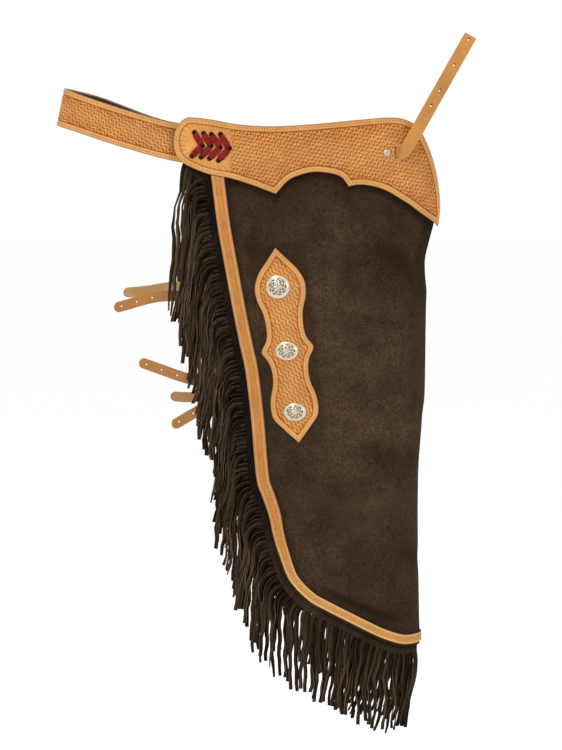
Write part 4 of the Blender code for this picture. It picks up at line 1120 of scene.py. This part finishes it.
class CHAPS_OT_sewing(ChapsPart, bpy.types.Operator):
    """Stitches and awl holes of the yokes, borders and patches"""
    bl_idname = "chaps.sewing"
    bl_label = "Sewing"

    def execute(self, context):
        sizes = context.scene.chaps_sizes
        inset, pitch = sizes.stitch_inset / MM, sizes.stitch_pitch / MM
        builds = bmesh.new(), bmesh.new()
        start, end = YOKE_TOP[0][0], YOKE_TOP[-1][0]
        steps = 100
        alongs = [start + (end - start) * i / steps for i in range(steps + 1)]
        joints = [start, YOKE_LOW_REAR[-1][0], YOKE_LOW_MIDDLE[-1][0], end]
        runs = []
        for low, high in zip(joints, joints[1:]):
            some = [low] + [a for a in alongs if low + 1.5 < a < high - 1.5] + [high]
            runs.append([(a, yoke_low(a)) for a in some])
        top = [(a, max(read_row(YOKE_TOP, a, 1), yoke_low(a) + 0.5)) for a in alongs]
        runs.append(top[::-1])
        for run in runs:
            line = inset_line(run, inset)
            sew(*builds, line, 3.0, line.length - 3.0, pitch, leg_put(YOKE_FACE, 0.25))
        edge_start = EDGE.nearest((BACK_EDGE[0][0], yoke_low(BACK_EDGE[0][0]))) + 3.0
        count = 320
        marks = [edge_start + (EDGE.length - 2.0 - edge_start) * i / count
                 for i in range(count + 1)]
        for side, offset in ((0, 2.4), (1, -2.4)):
            line = Line([tuple(EDGE.at(m) + EDGE.inward(m) * (border_edges(m)[side] + offset))
                         for m in marks], steps=1)
            sew(*builds, line, 1.0, line.length - 1.0, pitch * 0.9, leg_put(TRIM_FACE, 0.15))
        origin, axis, across = patch_flat()
        long = PATCH_ROWS[-1][0]
        down = [long * i / 60 for i in range(61)]
        for side in (1, -1):
            run = [tuple(origin + axis * m + across * read_row(PATCH_ROWS, m, 1) * side)
                   for m in (down if side < 0 else down[::-1])]
            line = inset_line(run, inset * 0.9)
            sew(*builds, line, 4.0, line.length - 4.0, pitch * 0.9, leg_put(TRIM_FACE, 0.25))
        for word, build in zip(("thread", "awl_hole"), builds):
            left = mirrored_build(build)
            for side, shape in zip(ALL_SIDES, (build, left)):
                keep_piece(f"{side}_{word}", shape, (word,), "tooled_leather")
        return {"FINISHED"}


def concho_relief(radius, turn, half):
    """Engraving of a concho, from 0 in a cut line to 1 on the plain dome."""
    inner = half * 0.7
    if radius > half - 1.7:
        return 0.8 + 0.2 * math.cos(60 * turn)
    if radius > inner:
        return 0.25 if radius < inner + 0.7 else 1.0
    petals = 0.5 + 0.5 * math.cos(6 * turn)
    reach = half * (0.15 + 0.22 * petals)
    if radius < half * 0.1:
        return 0.9 if radius < half * 0.075 else 0.0
    if radius < reach:
        vein = abs(math.sin(3 * turn))
        return 0.25 if vein > 0.985 or radius > reach - 0.5 else 0.7 + 0.3 * petals
    curl = math.sin(9 * turn + 2.8 * math.sin(radius * 0.95)) + 0.7 * math.cos(radius * 2.9)
    return 0.8 if curl > 0.05 else 0.05


def concho_build(wide, tall, seat):
    """Domed concho with a milled rim and an engraved flower between scrolls."""
    half = 17.4
    rings, steps = 40, 120
    build = bmesh.new()
    profile = [(half, 0.0), (half, 0.8), (half - 0.6, 1.25), (half - 1.5, 1.3), (half - 2.0, 0.95)]
    for i in range(rings + 1):
        radius = (half - 2.2) * (1 - i / rings)
        profile.append((radius, 0.95 + (CONCHO_RISE - 0.95) * (1 - (radius / (half - 2.2)) ** 2.3)))
    verts = [build.verts.new((r * MM, 0.0, z * MM)) for r, z in profile]
    edges = [build.edges.new(pair) for pair in zip(verts, verts[1:])]
    bmesh.ops.spin(build, geom=verts + edges, axis=(0, 0, 1), cent=(0, 0, 0), steps=steps,
                   angle=2 * math.pi, use_merge=True)
    bmesh.ops.remove_doubles(build, verts=build.verts, dist=0.00001)
    layer = build.verts.layers.float_vector.new("tooling")
    for vertex in build.verts:
        turn = math.atan2(vertex.co.y, vertex.co.x)
        relief = concho_relief(math.hypot(vertex.co.x, vertex.co.y) / MM, turn, half)
        vertex.co.z -= (1 - relief) * 0.4 * MM
        vertex[layer] = (relief, 0.0, 0.0)
    bmesh.ops.scale(build, vec=(wide / 2 / half, tall / 2 / half, 1.0), verts=build.verts)
    bmesh.ops.recalc_face_normals(build, faces=build.faces)
    bmesh.ops.transform(build, matrix=seat, verts=build.verts)
    return build


class CHAPS_OT_conchos(ChapsPart, bpy.types.Operator):
    """Engraved silver conchos and the domed rivets of the front pieces"""
    bl_idname = "chaps.conchos"
    bl_label = "Conchos and rivets"

    def execute(self, context):
        for number, (along, height, wide, tall) in enumerate(CONCHOS, 1):
            seat = seat_matrix(along, height, TRIM_FACE + SEAM_GAP + 0.15)
            both_sides(f"concho_{number}", concho_build(wide, tall, seat), ("concho_silver",),
                       "silver", sharp=60.0)
        half = RIVET_WIDE / 2
        build = bmesh.new()
        profile = [(half, 0.0), (half, 0.35)]
        profile += [(half * math.cos(a), 0.35 + (RIVET_RISE - 0.35) * math.sin(a) ** 0.9)
                    for a in (math.radians(9 * i) for i in range(1, 11))]
        verts = [build.verts.new((r * MM, 0.0, z * MM)) for r, z in profile]
        edges = [build.edges.new(pair) for pair in zip(verts, verts[1:])]
        bmesh.ops.spin(build, geom=verts + edges, axis=(0, 0, 1), cent=(0, 0, 0), steps=40,
                       angle=2 * math.pi, use_merge=True)
        bmesh.ops.remove_doubles(build, verts=build.verts, dist=0.00001)
        bmesh.ops.recalc_face_normals(build, faces=build.faces)
        bmesh.ops.transform(build, matrix=seat_matrix(*RIVET_AT, YOKE_FACE + 0.1), verts=build.verts)
        both_sides("front_rivet", build, ("nickel_plate",), "nickel")
        return {"FINISHED"}


class CHAPS_OT_laces(ChapsPart, bpy.types.Operator):
    """Dark red lacing that joins the yokes to the belt"""
    bl_idname = "chaps.laces"
    bl_label = "Laces"

    def execute(self, context):
        steps, across_steps = 14, 6
        for number, (top, tip, bottom) in enumerate(LACE_CHEVRONS, 1):
            build = bmesh.new()
            for from_hole, lift in ((bottom, 0.0), (top, 0.25)):
                start, end = Vector(from_hole), Vector(tip)
                heading = (end - start).normalized()
                side = Vector((-heading.y, heading.x))
                points = np.empty((across_steps + 1, steps + 1, 3))
                tones = np.zeros((across_steps + 1, steps + 1, 3))
                for s in range(steps + 1):
                    f = s / steps
                    ends = min(f, 1 - f)
                    # Painted shade where the lace dives into its holes.
                    tones[:, s, 0] = math.exp(-(ends / 0.12) ** 2)
                    dive = 2.4 * math.exp(-(ends / 0.07) ** 2)
                    half = LACE_WIDE / 2 * (1 - 0.38 * math.exp(-(ends / 0.13) ** 2))
                    middle = start.lerp(end, f)
                    for a in range(across_steps + 1):
                        aside = a / across_steps * 2 - 1
                        spot = middle - side * half * aside
                        crown = 0.7 * (1 - aside ** 4) - 0.7
                        out = YOKE_FACE + SEAM_GAP + LACE_THICK + lift + crown - dive
                        points[a, s] = place(spot.x, spot.y, out)
                arm = grid_build(points[::-1], tones)
                mesh = bpy.data.meshes.new("arm")
                arm.to_mesh(mesh)
                arm.free()
                build.from_mesh(mesh)
                bpy.data.meshes.remove(mesh)
            both_sides(f"lace_{number}", build, ("lace_leather",), "lace", thickness=1.3)
        return {"FINISHED"}


def strap_build(centres, outwards, widths, columns=8, crown=0.25):
    """Open strap surface along points, crowned a little towards its middle."""
    last = len(centres) - 1
    points = np.empty((columns + 1, last + 1, 3))
    for s in range(last + 1):
        ahead = centres[min(s + 1, last)] - centres[max(s - 1, 0)]
        across = outwards[s].cross(ahead).normalized()
        for a in range(columns + 1):
            aside = a / columns * 2 - 1
            lift = crown * (1 - abs(aside) ** 5) - crown
            points[a, s] = (centres[s] + across * widths[s] / 2 * aside * MM
                            + outwards[s] * lift * MM)
    return grid_build(points)


def punched(piece, places, radius, stretch=1.0):
    """Punch slanting holes with dark walls through a strap, and keep the result as its mesh."""
    cutters = []
    for index, seat in enumerate(places):
        build = bmesh.new()
        bmesh.ops.create_cone(build, cap_ends=True, segments=20, radius1=radius * MM,
                              radius2=radius * MM, depth=14 * MM)
        bmesh.ops.scale(build, vec=(stretch, 1.0, 1.0), verts=build.verts)
        slant = Matrix.Rotation(math.radians(38), 4, "Y")
        bmesh.ops.transform(build, matrix=seat @ slant, verts=build.verts)
        for face in build.faces:
            face.material_index = 2
        mesh = bpy.data.meshes.new(f"punch_{index}")
        build.to_mesh(mesh)
        build.free()
        for material in piece.data.materials:
            mesh.materials.append(material)
        cutter = bpy.data.objects.new(mesh.name, mesh)
        bpy.context.scene.collection.objects.link(cutter)
        hole = piece.modifiers.new(mesh.name, "BOOLEAN")
        hole.operation = "DIFFERENCE"
        hole.solver = "EXACT"
        hole.material_mode = "INDEX"
        hole.object = cutter
        cutters.append(cutter)
    graph = bpy.context.evaluated_depsgraph_get()
    solid = bpy.data.meshes.new_from_object(piece.evaluated_get(graph))
    solid.shade_smooth()
    solid.set_sharp_from_angle(angle=math.radians(38))
    piece.modifiers.clear()
    piece.data = solid
    for cutter in cutters:
        bpy.data.objects.remove(cutter)


class CHAPS_OT_straps(ChapsPart, bpy.types.Operator):
    """Front strap and the three leg straps of each leg, with their punched holes"""
    bl_idname = "chaps.straps"
    bl_label = "Straps"

    def execute(self, context):
        stand = form_at(SLOT_AT[1])[2]
        path = Line([(x, -stand - out, z) for x, z, out in FRONT_STRAP_PATH], steps=6)
        outward = Vector((0.0, -1.0, 0.0))
        count = len(path.points)
        half_thick = FRONT_STRAP_THICK / 2
        centres = [p * MM + outward * half_thick * MM for p in path.points]
        build = strap_build(centres, [outward] * count, [FRONT_STRAP_WIDE] * count)
        strap = keep_piece("front_strap_dressed", build,
                           ("plain_tan", "flesh_side", "burnished_edge"), "strap_leather",
                           ("front_strap",), thickness=FRONT_STRAP_THICK, inner=1, rim=2)
        seats = []
        for distance in FRONT_HOLES_FROM_TIP:
            point = path.at(path.length - distance)
            heading = path.heading(path.length - distance)
            turn = Matrix((heading, outward.cross(heading), outward)).transposed().to_4x4()
            seats.append(Matrix.Translation(point * MM) @ turn)
        punched(strap, seats, 1.5, stretch=1.2)
        for side, straps in LEG_STRAPS.items():
            for number, points in enumerate(straps, 1):
                self.leg_strap(side, number, points)
        return {"FINISHED"}

    def leg_strap(self, side, number, points):
        """One leg strap from its rounded tip to where it is stitched inside the panel."""
        line = Line(points)
        tip = LEG_STRAP_WIDE / 2
        marks = [tip * (1 - math.cos(math.radians(a))) for a in range(8, 91, 12)]
        seated = line.length - LEG_STRAP_SEAT_LONG[0]
        count = round((line.length - tip) / 5.0)
        marks += [tip + (line.length - tip) * (i + 1) / count for i in range(count)]
        centres, outwards, widths = [], [], []
        for mark in marks:
            flat = line.at(mark)
            spot = max(flat.x, LEG_STRAP_FREE)
            _, outward, forward = surface_frame(spot, flat.y)
            rise = float(smooth_share(mark, seated, line.length - LEG_STRAP_SEAT_LONG[1]))
            depth = LEG_STRAP_DEPTH + (LEG_STRAP_SEAT - LEG_STRAP_DEPTH) * rise
            centre = place(spot, flat.y, depth + LEG_STRAP_THICK / 2)
            centres.append(centre + forward * (flat.x - spot) * MM)
            outwards.append(outward)
            short = max(1 - mark / tip, 0.0)
            widths.append(LEG_STRAP_WIDE * math.sqrt(max(1 - short ** 2, 0.02)))
        build = strap_build(centres, outwards, widths, columns=6, crown=0.2)
        if side == "left":
            bmesh.ops.scale(build, vec=(1.0, -1.0, 1.0), verts=build.verts)
            bmesh.ops.reverse_faces(build, faces=build.faces)
        name = f"{side}_leg_strap_{number}"
        strap = keep_piece(f"{name}_dressed", build,
                           ("leg_strap_tan", "flesh_side", "burnished_edge"), "strap_leather",
                           (name,), thickness=LEG_STRAP_THICK, inner=1, rim=2)
        seats = []
        flip = Matrix.Diagonal((1.0, -1.0 if side == "left" else 1.0, 1.0, 1.0))
        for distance in LEG_HOLES_FROM_TIP:
            index = min(range(len(marks)), key=lambda i: abs(marks[i] - distance))
            turn = outwards[index].to_track_quat("Z", "Y").to_matrix().to_4x4()
            seats.append(flip @ Matrix.Translation(centres[index]) @ turn)
        punched(strap, seats, 1.3)


def strand_points(root, outward, length, lean, bend, steps):
    """Middle line of one strand, its stations closer together near the bend."""
    hang = Vector((math.sin(math.radians(lean)), -math.cos(math.radians(lean))))
    fine = 80
    points, directions = [root.copy()], [outward.copy()]
    for step in range(fine):
        run = length * (step + 0.5) / fine
        share = 1 / (1 + (run / bend) ** 3)
        direction = (outward * share + hang * (1 - share)).normalized()
        points.append(points[-1] + direction * length / fine)
        directions.append(direction)
    picks = [max(round(fine * (s / steps) ** 1.5), 1) for s in range(1, steps + 1)]
    return [(points[i], directions[i], length * i / fine) for i in sorted(set(picks))]


class CHAPS_OT_fringes(ChapsPart, bpy.types.Operator):
    """Suede fringes: a strip behind the edge and its curling strands"""
    bl_idname = "chaps.fringes"
    bl_label = "Fringes"

    def execute(self, context):
        sizes = context.scene.chaps_sizes
        pitch = sizes.strand_pitch / MM
        count = int(STRIP.length // pitch)
        marks = [STRIP.length * i / count for i in range(count + 1)]
        rng = np.random.default_rng(7)
        build = bmesh.new()
        layer = build.verts.layers.float_vector.new("tooling")

        def vertex(flat, out, tone):
            made = build.verts.new(place(flat.x, flat.y, out))
            made[layer] = tone
            return made

        inner, root = [], []
        for mark in marks:
            flat, inward = STRIP.at(mark), STRIP.inward(mark)
            spot = flat - inward * read_row(FRINGE_ROWS, mark, OUTSIDE)
            inner.append(vertex(flat + inward * read_row(FRINGE_ROWS, mark, INSIDE),
                                FRINGE_DEPTH, (0.0, 0.0, 0.0)))
            # The strip darkens towards the strand roots: painted shade under the edge, weaker round
            # the hem, with a little painted highlight at the hem.
            hem = float(smooth_share(mark, 500.0, 640.0))
            root.append((vertex(spot, FRINGE_DEPTH, (0.45 - 0.35 * hem, 0.1 * hem, 0.0)), spot))
        for i in range(count):
            build.faces.new((inner[i], root[i][0], root[i + 1][0], inner[i + 1]))
            self.strand(build, vertex, rng, root[i], root[i + 1], (marks[i] + marks[i + 1]) / 2, i,
                        sizes)
        both_sides("fringe", build, ("fringe_suede", "fringe_suede", "fringe_cut_edge"), "fringe",
                   thickness=FRINGE_THICK, inner=1, rim=2, offset=0.0, sharp=50.0)
        return {"FINISHED"}

    def strand(self, build, vertex, rng, first, second, mark, index, sizes):
        """One curling strand between two root points."""
        tone, waves, twist, long, sway, reach = rng.random(6)
        heading = STRIP.heading(mark)
        upright = min(max((-heading.y - 0.45) * 2.2, 0.0), 1.0)
        length = read_row(FRINGE_ROWS, mark, LENGTH) * (0.9 + 0.105 * long)
        lean = read_row(FRINGE_ROWS, mark, LEAN) + (sway - 0.5) * 3.0
        bend = 7.0 + upright * (3.0 + 9.0 * reach)
        wide = sizes.strand_wide / MM
        lift = upright * 1.5 * (index % 4) + (1 - upright) * 1.7 * (index % 2)
        settle = (twist - 0.5) * 1.7
        middle = (first[1] + second[1]) / 2
        left, right = first[0], second[0]
        for centre, direction, run in strand_points(middle, -STRIP.inward(mark), length, lean,
                                                    bend, sizes.strand_steps):
            share = run / length
            side = Vector((-direction.y, direction.x))
            free = min(run / 40.0, 1.0)
            swing = (math.sin(run / (11.0 + 5.0 * waves) + index * 0.4) * 1.8
                     + math.sin(run / 5.6 + twist * 9.0) * 0.8
                     + math.sin(run / 30.0 + index * 0.27 + twist * 2.5) * 3.0) * free
            arch = math.exp(-((run - bend * 1.2) / (bend * 1.5)) ** 2) * upright
            turn = -0.62 * arch + (1 - arch) * free * (
                settle + 0.6 * math.sin(run / (16.0 + 12.0 * twist) + waves * 6.3))
            rise = FRINGE_DEPTH + (lift + upright * 1.2) * min(run / 12.0, 1.0)
            rise += 1.3 * math.sin(run / 25.0 + waves * 6.3) * free
            half = wide / 2 * (1 - 0.16 * share + 0.45 * arch)
            spot = centre + side * swing
            # Over a random darkness for each strand, one side edge gets a painted shade, deeper away
            # from the root and under the arch, and the other a painted highlight.
            dark = 0.15 + 0.8 * tone
            shaded_side = (min(dark + 0.3 * free + 0.6 * arch, 1.0), 0.0, 0.0)
            lit = (min(dark * 0.55 + 0.2 * arch, 1.0),
                   (0.25 + 0.75 * (1 - tone) ** 2) * (0.35 + 0.65 * free) * (1 - 0.5 * arch), 0.0)
            left_tone, right_tone = (lit, shaded_side) if twist > 0.35 else (shaded_side, lit)
            flat, proud = half * math.cos(turn), half * math.sin(turn)
            next_left = vertex(spot - side * flat, rise - proud, left_tone)
            next_right = vertex(spot + side * flat, rise + proud, right_tone)
            build.faces.new((left, next_left, next_right, right))
            left, right = next_left, next_right


def bevelled_copy(node, slots, record_slot, width, angle=30.0):
    """Merged and bevelled copy of a frame part, kept in its place."""
    build = bmesh.new()
    build.from_mesh(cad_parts[node].data)
    bmesh.ops.remove_doubles(build, verts=build.verts, dist=0.00002)
    bmesh.ops.dissolve_limit(build, angle_limit=math.radians(2), verts=build.verts,
                             edges=build.edges)
    sharp = [edge for edge in build.edges
             if len(edge.link_faces) == 2 and edge.calc_face_angle(0.0) > math.radians(angle)]
    bmesh.ops.bevel(build, geom=sharp, offset=width * MM, offset_type="OFFSET", segments=2,
                    profile=0.5, affect="EDGES", material=-1, clamp_overlap=True)
    return keep_piece(f"{node}_dressed", build, slots, record_slot, (node,), sharp=45.0)


class CHAPS_OT_buckles(ChapsPart, bpy.types.Operator):
    """Plate buckles and the folded chapes that hold them"""
    bl_idname = "chaps.buckles"
    bl_label = "Buckles"

    def execute(self, context):
        names = ["front"] + [f"{side}_%s_{n}" for side in ALL_SIDES for n in (1, 2, 3)]
        for name in names:
            buckle = "front_buckle" if name == "front" else name % "buckle"
            chape = "front_chape" if name == "front" else name % "chape"
            bevelled_copy(buckle, ("nickel_plate",), "nickel", 0.35)
            bevelled_copy(chape, ("dark_brown",), "dark_strap", 0.3, angle=50.0)
        return {"FINISHED"}


class CHAPS_OT_stage(ChapsPart, bpy.types.Operator):
    """Pale floor, soft studio lights and the camera"""
    bl_idname = "chaps.stage"
    bl_label = "Stage"

    def execute(self, context):
        scene = context.scene
        floor_look = Look("studio_floor", roughness=0.9, base=scene.chaps_colours.floor)
        floor_height = CAD_BOX[0].z - 0.22
        build = bmesh.new()
        bmesh.ops.create_grid(build, x_segments=1, y_segments=1, size=30.0)
        bmesh.ops.translate(build, vec=(0.0, 0.0, floor_height), verts=build.verts)
        mesh = bpy.data.meshes.new("studio_floor")
        build.to_mesh(mesh)
        build.free()
        mesh.materials.append(floor_look.material)
        floor = bpy.data.objects.new("studio_floor", mesh)
        scene.collection.objects.link(floor)

        world = bpy.data.worlds.new("studio")
        world.use_nodes = True
        world.node_tree.nodes["Background"].inputs["Color"].default_value = (1.0, 1.0, 1.0, 1.0)
        world.node_tree.nodes["Background"].inputs["Strength"].default_value = 1.0
        scene.world = world
        for name, spot, size, power, tint in (
                ("key_light", (-1.4, -2.2, 1.7), 1.0, 34.0, (1.0, 0.98, 0.95)),
                ("fill_light", (1.9, -2.2, 0.4), 1.6, 8.0, (0.96, 0.98, 1.0)),
                ("back_light", (-0.6, 2.2, 1.6), 1.4, 14.0, (1.0, 1.0, 1.0))):
            light = bpy.data.lights.new(name, "AREA")
            light.shape = "SQUARE"
            light.size, light.energy, light.color = size, power, tint
            lamp = bpy.data.objects.new(name, light)
            lamp.location = spot
            aim = Vector(VIEW_TARGET) - Vector(spot)
            lamp.rotation_mode = "QUATERNION"
            lamp.rotation_quaternion = aim.to_track_quat("-Z", "Y")
            scene.collection.objects.link(lamp)

        slope = math.radians(VIEW_ELEVATION)
        forward = Vector((0.0, math.cos(slope), -math.sin(slope)))
        lens = bpy.data.cameras.new("camera")
        lens.sensor_width = SENSOR_WIDE
        lens.lens = SENSOR_WIDE * VIEW_DISTANCE / VIEW_TALL
        camera = bpy.data.objects.new("camera", lens)
        camera.location = Vector(VIEW_TARGET) - forward * VIEW_DISTANCE
        camera.rotation_mode = "QUATERNION"
        camera.rotation_quaternion = forward.to_track_quat("-Z", "Y")
        scene.collection.objects.link(camera)
        scene.camera = camera
        scene.view_settings.view_transform = "Standard"
        return {"FINISHED"}


OPERATORS = (
    CHAPS_OT_fringes, CHAPS_OT_leg_panels, CHAPS_OT_yokes, CHAPS_OT_borders, CHAPS_OT_patches,
    CHAPS_OT_belt, CHAPS_OT_sewing, CHAPS_OT_conchos, CHAPS_OT_laces, CHAPS_OT_straps,
    CHAPS_OT_buckles, CHAPS_OT_stage,
)


class CHAPS_PT_panel(bpy.types.Panel):
    """Sidebar panel of the chaps"""
    bl_idname = "CHAPS_PT_panel"
    bl_label = "Leather chaps"
    bl_space_type = "VIEW_3D"
    bl_region_type = "UI"
    bl_category = "Chaps"

    def draw(self, context):
        for operator in OPERATORS:
            self.layout.operator(operator.bl_idname)
        for group in (context.scene.chaps_sizes, context.scene.chaps_colours):
            for name in group.__annotations__:
                self.layout.prop(group, name)


CLASSES = (ChapsSizes, ChapsColours, *OPERATORS, CHAPS_PT_panel)


def register():
    """Register the settings, operators and panel."""
    for item in CLASSES:
        bpy.utils.register_class(item)
    bpy.types.Scene.chaps_sizes = PointerProperty(type=ChapsSizes)
    bpy.types.Scene.chaps_colours = PointerProperty(type=ChapsColours)


def unregister():
    """Remove what register adds."""
    del bpy.types.Scene.chaps_colours
    del bpy.types.Scene.chaps_sizes
    for item in reversed(CLASSES):
        bpy.utils.unregister_class(item)


def main():
    """Register the settings and build every piece in order."""
    register()
    for operator in OPERATORS:
        group, name = operator.bl_idname.split(".")
        getattr(getattr(bpy.ops, group), name)()


if __name__ == "__main__":
    main()
